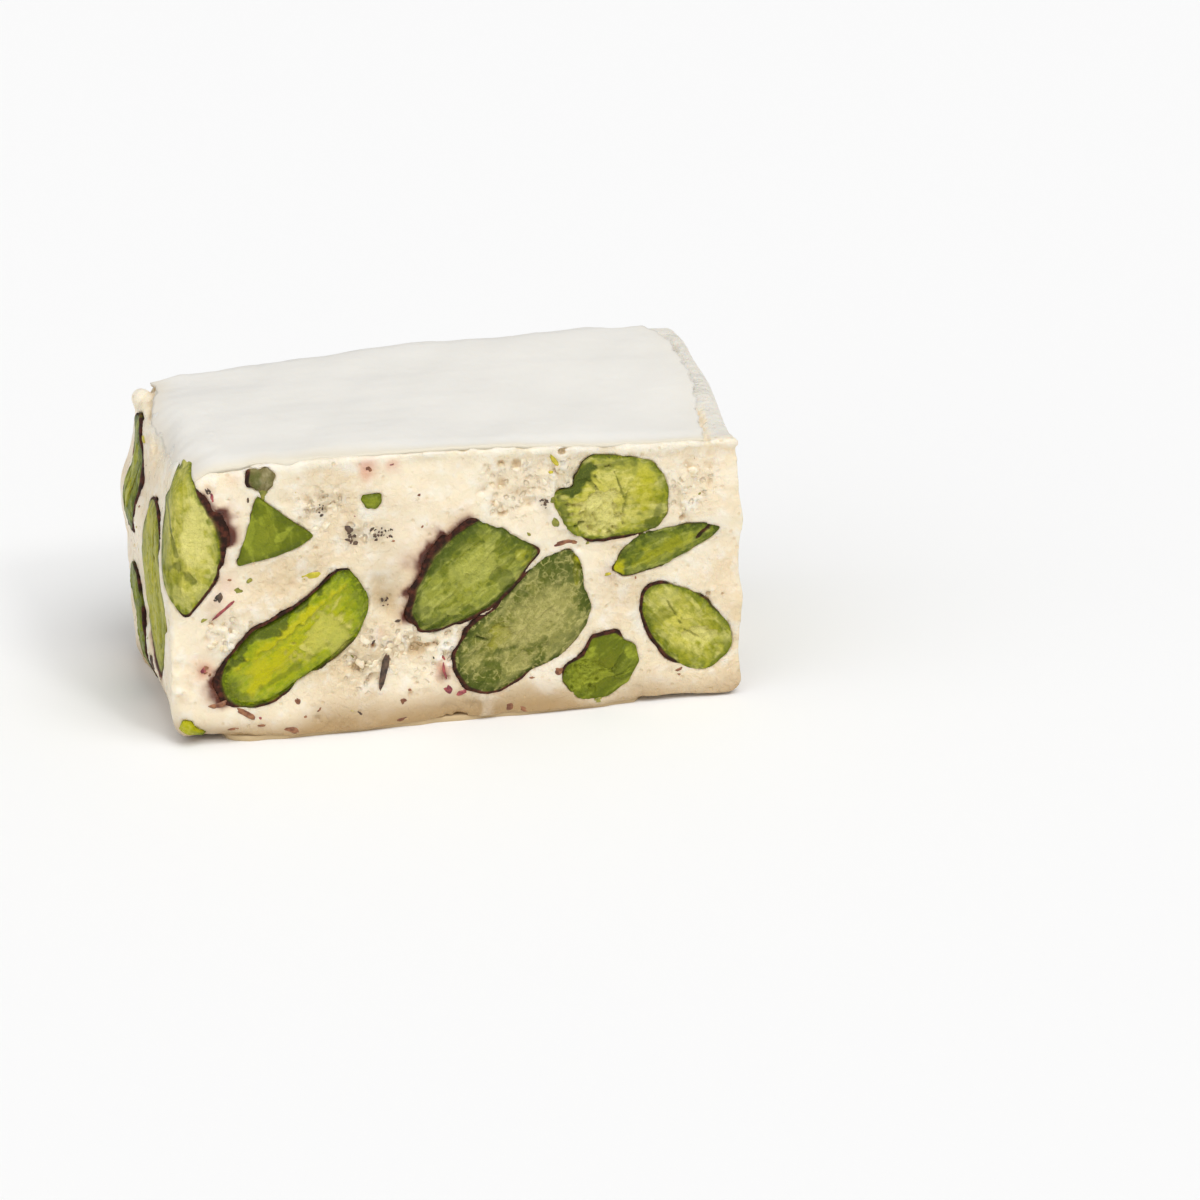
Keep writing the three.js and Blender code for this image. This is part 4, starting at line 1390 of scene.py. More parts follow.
@dataclass
class NougatBlock:
    """The whipped nougat between the sheets, with its air holes, furrows and torn places."""

    voxel: float = 0.26
    band: float = 1.4
    bubbles: int = 420
    # the share of the air holes that each side has, and from where to where they lie along it
    BUBBLED = {F: (0.36, -26, 27), B: (0.34, -27, 26), L: (0.14, -13, 14), R: (0.16, -14, 13)}
    FLOOR = 0.2  # the sheet under the block is pressed into its foot
    EASE = 0.1  # how deep the relief lies on the whole
    nub_at: Triple = (-25.0, 9.0, 26.15)
    nub_size: Triple = (1.15, 1.5, 1.0)
    gap_at: Triple = (-24.05, 9.9, 26.75)  # the hollow between nub and sheet
    gap_radius: float = 0.75
    # where the corner behind the nub is missing, and how far round
    notches: tuple[tuple[Triple, float], ...] = (((-25.6, 11.6, 25.6), 2.0), ((-23.6, 13.0, 27.2), 1.3))
    furrows: tuple[Furrow, ...] = each(
        Furrow, (F, (20.7, 23), (21.2, 20.2), 0.45, 0.4), (F, (21, 19.9), (22.2, 18.2), 0.4, 0.45),
        (F, (23.2, 24.4), (23, 21.6), 0.35, 0.3), (F, (22.9, 21.4), (23.9, 20.2), 0.35, 0.35),
        (F, (22, 25.1), (23.2, 25), 0.3, 0.3), (F, (20.2, 24.8), (21.6, 22.6), 0.35, 0.2),
        (F, (-13, 23.8), (-12.3, 21.2), 0.3, 0.3), (F, (14.1, 25.8), (15.3, 25.7), 0.35, 0.4),
        (F, (-6.9, 17.5), (-6.6, 10.8), 1.6, 0.3), (R, (-2, 22.4), (1, 20), 0.4, 0.35),
        (R, (3.6, 17.6), (4.4, 13.6), 0.4, 0.3), (B, (-24, 12.4), (-20.5, 10.6), 0.4, 0.35),
        (B, (11.2, 13.4), (10.4, 10.8), 0.4, 0.35), (B, (-3.2, 12.6), (0.6, 13.6), 0.5, 0.3),
    )
    dents: tuple[Spot, ...] = each(
        Spot, (F, (-6.8, 12.7), 1.6, 0.45), (F, (-4.2, 7.3), 1.2, 0.3), (F, (-21.5, 9.6), 0.9, -0.25),
        (F, (8.6, 3.6), 1.3, -0.4), (R, (-3, 16.4), 1.4, 0.3), (B, (16, 12.6), 1.4, 0.35),
        (B, (-12.4, 11), 1.2, 0.3),
    )
    pits: tuple[Spot, ...] = each(
        Spot, (F, (4.5, 20.5), 0.5, 0.1), (F, (5.9, 25), 0.5, 0.15), (F, (4.4, 25.2), 0.42, 0.1),
        (F, (3.2, 25), 0.34, 0.05), (F, (2.8, 22.8), 0.42, 0.15), (F, (3.6, 21.5), 0.36, 0.1),
        (F, (6.8, 23.4), 0.36, 0.1), (F, (3.6, 20.6), 0.32, 0.1), (F, (10.1, 26), 0.45, 0.15),
        (F, (21.7, 18.4), 0.45, 0.1), (F, (-12.9, 23.6), 0.34, 0.1), (F, (-10.3, 21.7), 0.4, 0.1),
        (F, (-13.9, 22.3), 0.36, 0.1), (F, (-6.7, 12.5), 0.5, 0.1), (F, (-3.6, 7.5), 0.7, 0.35),
        (F, (-9.6, 6.6), 0.5, 0.1), (F, (-8, 8.4), 0.42, 0.1),
    )  # the amount is how deep its middle lies
    torn: tuple[Spot, ...] = each(
        Spot, (F, (-8.2, 7.4), 3, 1), (F, (-3.2, 7.2), 3.4, 0.9), (F, (-21.6, 10.8), 2.4, 0.7),
        (F, (5.4, 23.2), 3.2, 0.7), (F, (10, 23.4), 1.8, 0.8), (F, (-12.6, 22.4), 2.2, 0.8),
        (F, (22.6, 21.6), 3, 0.6), (F, (-9, 19.2), 1.8, 0.7), (L, (8, 3.5), 2.4, 0.5), (R, (-1, 20), 3, 0.8),
        (R, (4, 14), 2.6, 0.7), (R, (-3, 8), 2.4, 0.7), (B, (-3, 12), 3.4, 0.8), (B, (-24, 10), 3, 0.8),
        (B, (10, 13), 3.2, 0.7), (B, (24, 7), 3, 0.8),
    )
    stains: tuple[Spot, ...] = each(
        Spot, (F, (-23.9, 7.6), 1.1, 0.3), (F, (-23.1, 5.2), 0.9, 0.7), (F, (-22.6, 7), 0.7, 0.7),
        (F, (-22.6, 14.2), 1, 0.22), (F, (-1.3, 4.9), 0.8, 0.5), (F, (10, 19), 0.9, 0.16),
        (F, (-4.6, 16.4), 0.9, 0.35), (F, (-20.5, 26), 0.8, 0.18), (F, (-22.9, 25.1), 0.6, 0.3),
        (F, (14.6, 13.4), 0.9, 0.22),
    )
    # spots of painted shade: the dents, the furrow and deep pores
    painted_shade_spots: tuple[Spot, ...] = each(
        Spot, (F, (-6.8, 12.8), 1.1, 0.42), (F, (-6.6, 15.2), 1.9, 0.22), (F, (-5.4, 17.2), 1.6, 0.16),
        (F, (-12.5, 22.2), 0.8, 0.22), (F, (-9.6, 19.4), 0.8, 0.3), (F, (-7, 19.4), 0.9, 0.3),
        (F, (-8.8, 6.8), 0.9, 0.25), (F, (8.6, 20.6), 0.7, 0.25),
    )
    blushes: tuple[Spot, ...] = each(
        Spot, (F, (-8.2, 25.8), 0.9, 0.6), (F, (-6, 26), 0.7, 0.5), (F, (-7.2, 9.3), 0.7, 0.25),
        (F, (-21.8, 15.8), 1.2, 0.25), (F, (-1.4, 5.4), 0.7, 0.7), (F, (-23.8, 7.6), 0.7, 0.7),
    )

    def relief(self, p: Array) -> Array:
        """How deep the surface is carved at each point, mm."""
        low = smooth((5 - p[:, 2]) / 2)
        lumps = 0.12 * GRAIN.at(p, 3.6) + 0.1 * GRAIN.at(p, 1.7) + 0.07 * GRAIN.at(p, 0.85)
        crags = np.clip(GRAIN.at(p + 60, 2.3), 0, 1) * np.abs(GRAIN.at(p + 70, 0.9))
        broken = smooth(0.45 + 1.3 * RAG.at(p + 31, 6.5))
        return self.EASE + lumps * (1 - 0.45 * low) * (0.6 + 0.5 * broken) + 0.3 * crags * (0.25 + broken)

    def distance(self, x: Array, y: Array, z: Array) -> Array:
        """Signed distance of the nougat's surface on a grid of voxels.

        Args:
            x: places along the length, mm.
            y: places across, mm.
            z: heights, mm.

        Returns:
            The distance, negative inside.
        """
        gx, gy, gz = np.meshgrid(x, y, z, indexing="ij", sparse=True)
        base = FORM.outside(gx, gy, gz).astype(np.float32)
        close = np.abs(base) < self.band
        i, j, k = np.nonzero(close)
        d = self.carved(np.stack([x[i], y[j], z[k]], -1), base[close])
        out = np.where(base > 0, self.band, -self.band).astype(np.float32)
        out[close] = np.clip(d, -self.band, self.band)
        return np.maximum(out, self.FLOOR - gz).astype(np.float32)

    def carved(self, p: Array, base: Array) -> Array:
        """Signed distance of the nougat's surface at points near the plain form.

        Args:
            p: n x 3 places in mm.
            base: their distance outside the plain form.

        Returns:
            The distance, negative inside.
        """
        relief = self.relief(p)
        d = base + relief
        self.under_sheet(p, d, relief - self.EASE)
        pits = np.clip(np.abs(GRAIN.at(p + 5, 1.2)) * 1.7 - 0.2, 0, 1) + 0.7 * np.abs(GRAIN.at(p, 0.62))
        d += spread(p, self.torn) * (0.62 * pits - 0.26)
        for spot in self.dents:
            d += spot.amount * bell(away(p, spot.centre) / spot.radius)
        for at, radius in self.notches:
            d += 0.8 * bell(away(p, at) / radius)
        for furrow in self.furrows:
            furrow.carve(p, d)
        for spot in self.pits:
            off = away(p, spot.centre + spot.side.inward * (spot.amount + 0.1))
            near = off < spot.radius + 0.8
            d[near] = np.maximum(d[near], spot.radius * (1 + 0.25 * RAG.at(p[near], 0.8)) - off[near])
        self.open_bubbles(p, d)
        for kernel in KERNELS:
            self.sink_seat(p, d, base, kernel)
        nub = (np.linalg.norm((p - self.nub_at) / self.nub_size, axis=1) - 1) * 1.4
        blend = np.clip(0.5 + (d - nub) / 1.0, 0, 1)
        d = mix(d, nub, blend) - 0.5 * blend * (1 - blend)
        return d + 0.75 * bell(away(p, self.gap_at) / self.gap_radius) + 0.35 * self.border_groove(p)

    @staticmethod
    def border_groove(p: Array) -> Array:
        """Share of the groove along the back half of the upper sheet's left end."""
        off = (WaferTop.left_border(p) + 0.3 + 0.2 * RAG.at(p, 1.1)) / 0.3
        return bell(off) * smooth((p[:, 1] - 1.5) / 3) * smooth((p[:, 2] - 23) / 2)

    def depth_under(self, seats: Array, inward: Array) -> Array:
        """Depth of the carved surface under points of the plain form.

        Args:
            seats: n x 3 places in mm.
            inward: n x 3 directions into the block.

        Returns:
            Depths in mm, none of them so deep that a bit would be lost in a hole.
        """
        steps = np.linspace(-0.5, 1.3, 37)
        p = (seats[:, None] + inward[:, None] * steps[:, None]).reshape(-1, 3)
        inside = self.carved(p, FORM.outside_of(p)).reshape(len(seats), -1) < 0
        return np.clip(steps[inside.argmax(1)], -0.3, 0.5)

    @staticmethod
    def under_sheet(p: Array, d: Array, relief: Array) -> None:
        """Lifts the nougat to the upper sheet's underside, and beside its right edge smooth to its top."""
        up = smooth(1 - (FORM.top_at(p[:, 0], p[:, 1]) - p[:, 2]) / 1.2)
        past = p[:, 0] - WaferTop.right_edge(p[:, 1])
        beyond = smooth((past + 0.1) / 0.5)
        crack = bell((past - 0.35) / 0.3)
        crack = crack * (0.25 + 0.75 * smooth((-5.5 - p[:, 1]) / 2) + 0.5 * smooth((p[:, 1] - 4) / 1.5))
        inner = smooth(WaferTop.left_border(p) / 3.2)
        d -= up * (0.24 * inner + 0.06 * beyond - 0.34 * crack + 0.75 * beyond * relief)

    def open_bubbles(self, p: Array, d: Array) -> None:
        """Cuts open the air holes that the knife went through, most of them in the torn places."""
        draw = np.random.default_rng(5)
        bins = Bins(p)
        for side, (part, *span) in self.BUBBLED.items():
            spots = [s for s in self.torn if s.side is side]
            for n in range(int(self.bubbles * part)):
                if n % 2:
                    a, z = draw.uniform(*span), draw.uniform(1.5, 25.6)
                else:
                    spot = spots[draw.integers(len(spots))]
                    a, z = np.array(spot.at) + draw.normal(0, spot.radius * 0.6, 2)
                radius = 0.16 + 0.24 * draw.random() ** 2.2
                z = min(max(z, 1.0), 25.7)
                centre = FORM.on(side, a, z) + side.inward * (radius * draw.uniform(-0.2, 0.4) + 0.1)
                close = bins.near(centre)
                d[close] = np.maximum(d[close], radius - away(p[close], centre))

    @staticmethod
    def sink_seat(p: Array, d: Array, base: Array, kernel: Kernel) -> None:
        """Sinks a kernel's seat, a little narrower than the kernel so that the nougat grips it."""
        near = away(p, kernel.centre) < kernel.length / 2 + 2.5
        close = np.nonzero(near & (base > -kernel.POCKET - 0.4))[0]
        q = p[close]
        beyond, skin = kernel.beyond(q)
        grip = np.clip(0.09 + 0.09 * RAG.at(q, 1.0), 0.03, 0.3)
        grip = grip + 0.1 * smooth((skin - 0.3) / 0.8) * (0.8 + RAG.at(q, 0.9))
        seat = np.maximum(beyond + grip, -(base[close] + kernel.POCKET))
        d[close] = np.maximum(d[close], -seat)
        lip = bell(np.clip(beyond, 0, 9) / 0.7) * 0.06
        d[close] -= np.where(beyond > 0, lip, 0)

    def shape(self) -> Shape:
        """The block's mesh with its tints."""
        x, y, z = (np.arange(*span, self.voxel) for span in ((-29.4, 31.0), (-17.0, 16.6), (-0.6, 29.6)))
        grid = openvdb.FloatGrid(background=self.band)
        grid.copyFromArray(self.distance(x, y, z))
        points, triangles, quads = grid.convertToPolygons(isovalue=0.0, adaptivity=0.004)
        points = points.astype(float) * self.voxel + np.array([x[0], y[0], z[0]])
        return Shape(points, quads.tolist() + triangles.tolist(), self.tints(points))

    def stained(self, p: Array) -> Array:
        """How much juice of the brown skins has soaked in at each point, most of it round the kernels."""
        stain = spread(p, self.stains)
        for kernel in KERNELS:
            near = away(p, kernel.centre) < kernel.length / 2 + 3
            q = p[near]
            beyond, skin = kernel.beyond(q)
            strong = smooth((skin - 0.3) / 0.9)
            off = np.clip(beyond + 0.28 * RAG.at(q, 0.6) * strong - 0.12 * strong, 0, 9)
            halo = (0.14 + 0.76 * strong) * np.exp(-((off / (0.16 + 0.42 * strong)) ** 1.3))
            stain[near] = np.maximum(stain[near], halo * np.clip(0.9 + 0.3 * RAG.at(q, 0.8), 0, 1))
        return stain

    def tints(self, p: Array) -> dict[str, Array]:
        """Values that the finish reads at each point."""
        x, y, z = p.T
        depth = -FORM.outside_of(p)
        torn = spread(p, self.torn)
        shoulder = smooth((y + 14) / 1.5) * smooth((z - 21.5) / 2.5)
        paper = smooth((WaferTop.left_border(p) + 1.6) / 2.6) * smooth((-x - 20) / 2) * shoulder
        upward = smooth((z - FORM.top_at(x, y) + 0.9) / 0.5)
        past = x - WaferTop.right_edge(y)
        groove = smooth((-6 - y) / 1.5) * smooth((1.0 - past) / 0.3)
        paper = np.maximum(paper, upward * smooth((past + 0.4) / 0.3) * (1 - groove) * smooth((y + 15) / 2))
        # the foot is painted darker towards the bottom, reaching higher from x = -20 on and lower past x = 8:
        # partly the nougat's own tan, partly painted shade
        soaked = 0.6 * smooth((x + 20) / 8) - 1.1 * smooth((x - 8) / 8)
        low = smooth((3.9 - z + 0.9 * RAG.at(p, 5) + soaked) / 3.9)
        # hollow is painted shade: darker where the surface lies deep below the plain form, in the seam
        # between nub and sheet and along the groove at the sheet's left end
        seam = np.maximum(bell(away(p, self.gap_at)), 0.8 * self.border_groove(p))
        paper = paper * (1 - seam)
        hollow = np.maximum(smooth((depth - 0.34) / 0.4) * 0.72, 0.9 * seam)
        return {
            "hollow": np.where(z < 0.9, 0, hollow) * (1 - 0.8 * paper) * (1 - 0.5 * low),
            # raised crests whiter: painted highlight, with the torn nougat's own white crumbs where it tore
            "crest_white_and_highlight": smooth((0.08 - depth) / 0.16) * (0.45 + 0.5 * torn),
            "stain": self.stained(p),
            # grey: painted shade in dents, the furrow and pores
            "grey": spread(p, self.painted_shade_spots),
            "blush": spread(p, self.blushes),
            "torn": torn,
            "paper": 0.92 * paper,
            "low": low,
        }


# ---- wafer sheets ----
@dataclass
class WaferTop:
    """The upper sheet of wafer paper, flush with the cut front and bent down over the left end.

    Over the left end it fans out from a line along y, the pivot. All in mm.
    """

    columns: int = 190
    rows: int = 100
    thick: float = 0.36
    lift: float = 0.26
    PIVOT_X = -21.9
    PIVOT_Z = 21.0
    FAN = 5.4  # radius of the bend
    THINNING = 3.2  # over this length from the left end the sheet comes to its thickness

    @staticmethod
    def right_edge(y: Array) -> Array:
        """Where the sheet ends on the right, x at each y."""
        ragged = 0.12 * np.sin(1.9 * y + 0.4) + 0.08 * np.sin(4.3 * y)
        return FORM.right_x - 1.2 - 2.6 * smooth((2 - y) / 18) - 1.6 * smooth((y - 8) / 6) + ragged

    @classmethod
    def fan_limit(cls, y: Array) -> Array:
        """Angle in radians from upright at which the sheet ends over the left end."""
        waver = 0.02 * np.sin(1.3 * y) + 0.012 * np.sin(3.1 * y + 1)
        end = FORM.left_x + 2 + 1.4 * smooth((y - 2) / 6) + 1.0 * smooth((-y - 8) / 4)
        return np.arcsin(np.clip((cls.PIVOT_X - end) / cls.FAN, -1, 1)) + waver

    @classmethod
    def left_border(cls, p: Array) -> Array:
        """How far inside the sheet's left end a point lies, in mm over the rounded shoulder."""
        angle = np.arctan2(-(p[:, 0] - cls.PIVOT_X), p[:, 2] - cls.PIVOT_Z)
        return (cls.fan_limit(p[:, 1]) - angle) * cls.FAN

    def front_and_back(self, x: Array) -> tuple[Array, Array]:
        """The sheet's front and back edge, y at each x."""
        front = FORM.front_at(FORM.top_z) + 0.05 + FORM.uneven(x, FORM.front_y, FORM.top_z)
        front = front + 0.16 + 0.06 * np.sin(0.9 * x) + 0.04 * np.sin(2.7 * x + 1)
        back = FORM.back_at(x) - 0.7 + 0.1 * np.sin(1.7 * x) + 0.06 * np.sin(4.1 * x)
        return front + 0.55 * smooth((-x - 17) / 3), back

    @staticmethod
    def crease(p: Array) -> Array:
        """Share of the crease where the sheet bends down."""
        line = bell((p[:, 0] + 21.1 + 0.25 * np.sin(0.9 * p[:, 1])) / 0.3)
        return line * smooth((0.5 - p[:, 1]) / 1.5) * smooth((p[:, 1] + 12.5) / 1.5)

    def shape(self) -> Shape:
        """The sheet's mesh with its tints."""
        t, s = np.linspace(0, 1, self.rows), np.linspace(0, 1, self.columns)
        front, back = self.front_and_back(mix(FORM.left_x, FORM.right_x, s))
        y = front[None, :] + (back - front)[None, :] * t[:, None]
        start = -self.fan_limit(y) * self.FAN
        q = start + (self.right_edge(y) - self.PIVOT_X - start) * s[None, :]
        angle = np.clip(-q, 0, None) / self.FAN
        foot = np.stack([self.PIVOT_X + np.clip(q, 0, None), y, np.full_like(y, self.PIVOT_Z)], -1)
        foot = foot.reshape(-1, 3)
        out = np.stack([-np.sin(angle), np.zeros_like(y), np.cos(angle)], -1).reshape(-1, 3)
        from_left, from_front = (q - start).ravel(), (y - front[None, :]).ravel()
        grown = smooth(from_left / self.THINNING)
        thick = self.thick * (0.1 + 0.9 * grown) * (0.16 + 0.84 * smooth(from_front / 2.2))
        thick = thick * (0.25 + 0.75 * smooth((back[None, :] - y).ravel() / 1.6))
        plain = FORM.settle(foot + out * 5.5, -out, mix(-0.1, self.lift, grown), 9.0)
        thick = thick * (0.92 + 0.1 * GRAIN.at(plain, 3.5)) + 0.02 * GRAIN.at(plain, 0.9)
        thick = thick + self.crease(plain) * (0.07 + 0.1 * GRAIN.at(plain, 0.7))
        points = np.concatenate([plain + out * thick[:, None], plain - out * 0.3])
        soaked = 0.018 + 0.035 * bell((plain[:, 0].reshape(q.shape) + 12.5) / 6.5)
        warm = 0.6 * np.exp(-((t[:, None] / soaked) ** 1.5)) + 0.15 * np.exp(-(1 - s[None, :] + 0 * q) / 0.03)
        fade = bell(from_left / 1.2) * 0.35
        values = {"warm": np.tile(np.clip(warm.ravel(), 0, 1), 2), "fade": np.tile(fade, 2)}
        return Shape(points, self.faces(), values)

    def faces(self) -> list[list[int]]:
        """Faces of the upper side, the underside and the border between them."""
        count, wide = self.rows * self.columns, self.columns
        faces = []
        for a in (j * wide + i for j in range(self.rows - 1) for i in range(wide - 1)):
            faces.append([a, a + 1, a + wide + 1, a + wide])
            faces.append([count + a, count + a + wide, count + a + wide + 1, count + a + 1])
        front, back = list(range(wide - 1)), [count - 1 - i for i in range(wide - 1)]
        right = [j * wide + wide - 1 for j in range(self.rows - 1)]
        left = [(self.rows - 1 - j) * wide for j in range(self.rows - 1)]
        rim = front + right + back + left
        return faces + [[b, a, count + a, count + b] for a, b in zip(rim, rim[1:] + rim[:1])]


@dataclass
class WaferBottom:
    """The lower sheet, trimmed by hand to the block's foot."""

    around: int = 260
    rings: int = 12
    inset: float = 0.4

    def shape(self) -> Shape:
        """The sheet's mesh with its tints."""
        angle = np.linspace(0, 2 * np.pi, self.around, endpoint=False)
        core = np.stack([22 * np.cos(angle), 9 * np.sin(angle), np.full_like(angle, 0.9)], -1)
        aim = unit(np.stack([22 * np.cos(angle), 17 * np.sin(angle), 0 * angle], -1))
        edge = FORM.settle(core + aim * 5, -aim, -self.inset, 30.0)
        edge = edge + aim * (0.08 * RAG.at(edge, 1.6) + 0.05 * RAG.at(edge, 0.6))[:, None]
        top = FORM.wafer + 0.03
        levels = [(k / self.rings, top) for k in range(1, self.rings + 1)]
        levels += [(1.001, FORM.wafer - 0.05), (1.001, 0.06), (0.998, 0.0), (0.5, 0.0)]
        layers = [np.column_stack([edge[:, :2] * size, np.full(self.around, z)]) for size, z in levels]
        points = np.concatenate([*layers, [[0, 0, top], [0, 0, 0]]])
        ones = np.ones(len(points))
        return Shape(points, tube(len(layers), self.around), {"warm": 0.2 * ones, "fade": 0 * ones})


# ---- small bits in the cut faces ----
@dataclass(frozen=True)
class Bit:
    """A crumb or shred pressed into a side: place, length, width and thickness in mm, turn in degrees."""

    side: Side
    at: Pair
    size: Triple
    turn: float = 0.0
    rise: float = 0.0

    def shape(self, seat: Array, depth: float, seed: int) -> Shape:
        """An angular lump, half sunk in the side.

        Args:
            seat: the point of the plain form over it.
            depth: how deep the carved surface lies there, mm.
            seed: varies its form.

        Returns:
            Its mesh.
        """
        points, faces = ball(3 if max(self.size[:2]) > 0.8 else 2)
        knobs = 1 + 0.28 * RAG.at(points + seed * 3.1, 0.8) + 0.14 * RAG.at(points + seed, 0.35)
        flat = powered(points, 0.85) * knobs[:, None] * np.array(self.size) / 2
        ends = points[:, 0] ** 2
        flat[:, 1] = flat[:, 1] * (1 - 0.5 * ends) + 0.14 * self.size[0] * math.sin(seed * 2.4) * ends
        flat[:, 2] *= 1 - 0.5 * ends
        normal = FORM.normal(seat[None])[0]
        centre = seat + normal * (self.rise + 0.07 - self.size[2] / 2 - depth)
        along = unit(np.cross(UP, normal))
        rise = np.cross(normal, along)
        c, s = bearing(self.turn)
        placed = np.outer(flat[:, 0], along * c + rise * s) + np.outer(flat[:, 1], rise * c - along * s)
        return Shape(centre + placed + np.outer(flat[:, 2], normal), faces)


@dataclass(frozen=True)
class Cluster:
    """Small bits lying close together: middle, half widths of the patch, how many, and their size in mm."""

    side: Side
    at: Pair
    spread: Pair
    count: int
    size: float


class Bits(Enum):
    """A kind of bit: its finish, the ones with a set place, patches of them, and how many more at random."""

    CRUMB = (
        Fleck("pistachio_crumb_broken", "A09A3C", "6C7020"),
        each(
            Bit, (F, (-20.3, 15.1), (1.2, 0.8, 0.5), 10), (F, (-19.4, 16), (0.9, 0.6, 0.4), 60),
            (F, (-23.8, 12.6), (1.3, 0.5, 0.3), 30), (F, (9.5, 19.6), (1.1, 2.2, 0.7), 10),
            (F, (9.2, 21.3), (0.9, 0.8, 0.5)), (F, (12.6, 16.6), (0.6, 0.4, 0.3)),
            (F, (12.8, 10.2), (1.1, 0.6, 0.4), 50), (F, (13.4, 0.9), (1.2, 0.6, 0.5)),
            (F, (-17.9, 24.3), (1, 1.5, 0.7), 0, 0.06),
        ),
        (),
        70,
    )
    GOLD = (
        Fleck("pistachio_crumb_yellow", "D3C238", "A9A01C"),
        each(
            Bit, (F, (-13.6, 15.7), (2.5, 1, 0.5), 10), (F, (9.3, 25.3), (2.2, 0.5, 0.4), -58),
            (F, (-14.9, 24.3), (0.6, 0.6, 0.3)), (F, (-10.1, 2.4), (0.8, 0.7, 0.3)),
            (F, (14.5, 13.4), (1, 0.4, 0.3), 10), (F, (9.1, 23.9), (0.6, 0.4, 0.3)),
        ),
        (),
        26,
    )
    HUSK = (
        Fleck("pistachio_skin_shred", "6C5440", "33271F", 0.5),
        each(
            Bit, (F, (-7.05, 5.8), (3.5, 0.65, 0.4), 78), (F, (-22.3, 14.7), (0.9, 0.7, 0.4), 40),
            (F, (-12.5, 21.4), (0.6, 0.5, 0.3), 60), (F, (-22.9, 25), (1.2, 0.5, 0.4), -56),
            (F, (-12.4, 22.4), (0.3, 0.9, 0.3), 10), (F, (-10.1, 20.2), (0.9, 0.5, 0.3), -60),
            (F, (-9.6, 19.5), (0.7, 0.4, 0.3), -50), (F, (-9.4, 18.7), (0.6, 0.4, 0.3)),
            (F, (-7.4, 18.9), (0.6, 0.35, 0.3), 40), (F, (-6.6, 19.6), (0.8, 0.3, 0.3), -20),
            (F, (-5.4, 10.4), (0.9, 0.6, 0.4)), (F, (-19.3, 23.9), (0.3, 0.6, 0.3)),
        ),
        each(
            Cluster, (F, (-6.9, 19.5), (1, 0.55), 22, 0.26), (F, (-9.7, 19.6), (0.5, 0.8), 12, 0.3),
            (F, (-12.5, 22.3), (0.25, 1.1), 10, 0.22), (F, (8.6, 20.9), (0.5, 0.5), 10, 0.22),
            (F, (-6.8, 12.5), (0.4, 0.4), 5, 0.2), (F, (-22.3, 14.6), (0.4, 0.3), 5, 0.4),
            (F, (15, 8), (9, 5), 10, 0.3),
        ),
        50,
    )
    CREAM = (
        Fleck("nougat_crumb_loose", "F8EBD2", "EBD5AE", 0.36),
        (),
        each(
            Cluster, (F, (-12.8, 22), (1.6, 2), 14, 0.5), (F, (-7.2, 7.2), (3.2, 1.9), 26, 0.6),
            (F, (4.8, 23), (2.8, 2.4), 22, 0.5), (F, (10, 24.2), (1.6, 1.6), 10, 0.5),
            (F, (-21.8, 11), (1.8, 1.5), 12, 0.5), (F, (21.8, 20.6), (2, 2.8), 14, 0.5),
            (F, (-8, 19.4), (2, 0.7), 12, 0.3), (F, (1, 21.6), (20, 3), 18, 0.4),
            (L, (1, 13), (9, 9), 24, 0.45), (R, (0, 13), (11, 11), 40, 0.5), (B, (0, 13), (24, 11), 90, 0.5),
        ),
        0,
    )
    RUST = (
        Fleck("pistachio_skin_soaked", "A5714C", "6C3E28", 0.5),
        each(
            Bit, (F, (-20.2, 3), (2.2, 0.6, 0.4), -30), (F, (-22.7, 4.1), (1.8, 0.6, 0.4), 12),
            (F, (-21.5, 1.5), (1.1, 0.4, 0.3), 8), (F, (-18.6, 1.6), (1, 0.25, 0.3), 4),
            (F, (-15.2, 3.7), (0.9, 0.6, 0.3), -50), (F, (-14.6, 2.1), (0.6, 0.5, 0.3)),
            (F, (-13.2, 2.7), (0.9, 0.35, 0.3), 30), (F, (-15.9, 1), (1.5, 0.6, 0.3), -24),
            (F, (-5.3, 2.6), (0.9, 0.7, 0.3)), (F, (-5.6, 0.85), (1.5, 0.45, 0.3), 6),
            (F, (-4.6, 3.7), (0.4, 0.35, 0.3)), (F, (4.9, 1), (1, 0.8, 0.3), -8),
            (F, (6.1, 0.8), (1.1, 0.5, 0.3), -24), (F, (7.2, 3.8), (0.9, 0.3, 0.3), 14),
            (F, (9.6, 4.2), (0.9, 0.8, 0.3)), (F, (10.3, 16.9), (2.6, 0.6, 0.4), 3),
            (F, (-3.4, 23), (0.5, 0.35, 0.2)), (F, (-12.2, 15.3), (1.1, 0.5, 0.3), 30),
            (F, (-8.1, 26.1), (1, 1.2, 0.3)), (F, (18.8, 17.7), (2.8, 0.35, 0.3), 30),
            (F, (15, 13.9), (1.1, 0.45, 0.3), 48), (L, (-7.6, 17.4), (0.7, 2.6, 0.3), -8),
            (L, (-8.4, 21.4), (0.5, 2.2, 0.3), 6), (L, (-7.4, 24), (0.8, 0.5, 0.3), 30),
            (F, (22.9, 24.1), (2.2, 0.3, 0.3), -72),
        ),
        each(Cluster, (F, (-23.8, 7.5), (0.5, 0.6), 9, 0.4)),
        60,
    )
    ROSE = (
        Fleck("skin_shred_red", "B85C58", "6E2636", 0.45),
        each(
            Bit, (F, (-21.9, 13.4), (2.7, 0.32, 0.3), 40), (F, (-1.3, 6.4), (0.8, 0.4, 0.3), -60),
            (F, (-23.9, 7.7), (1.1, 0.9, 0.4)), (F, (-5.9, 26.2), (0.8, 0.3, 0.2), 10),
            (F, (-0.9, 3.4), (1.6, 0.9, 0.5), -50), (F, (0.3, 2.9), (1.4, 0.6, 0.4), 8),
            (F, (-1.2, 5.3), (0.4, 1.6, 0.3), 12), (F, (-22.6, 24.4), (0.4, 0.9, 0.3), 10),
            (F, (-18.8, 2.3), (0.5, 0.4, 0.3)),
        ),
        (),
        22,
    )

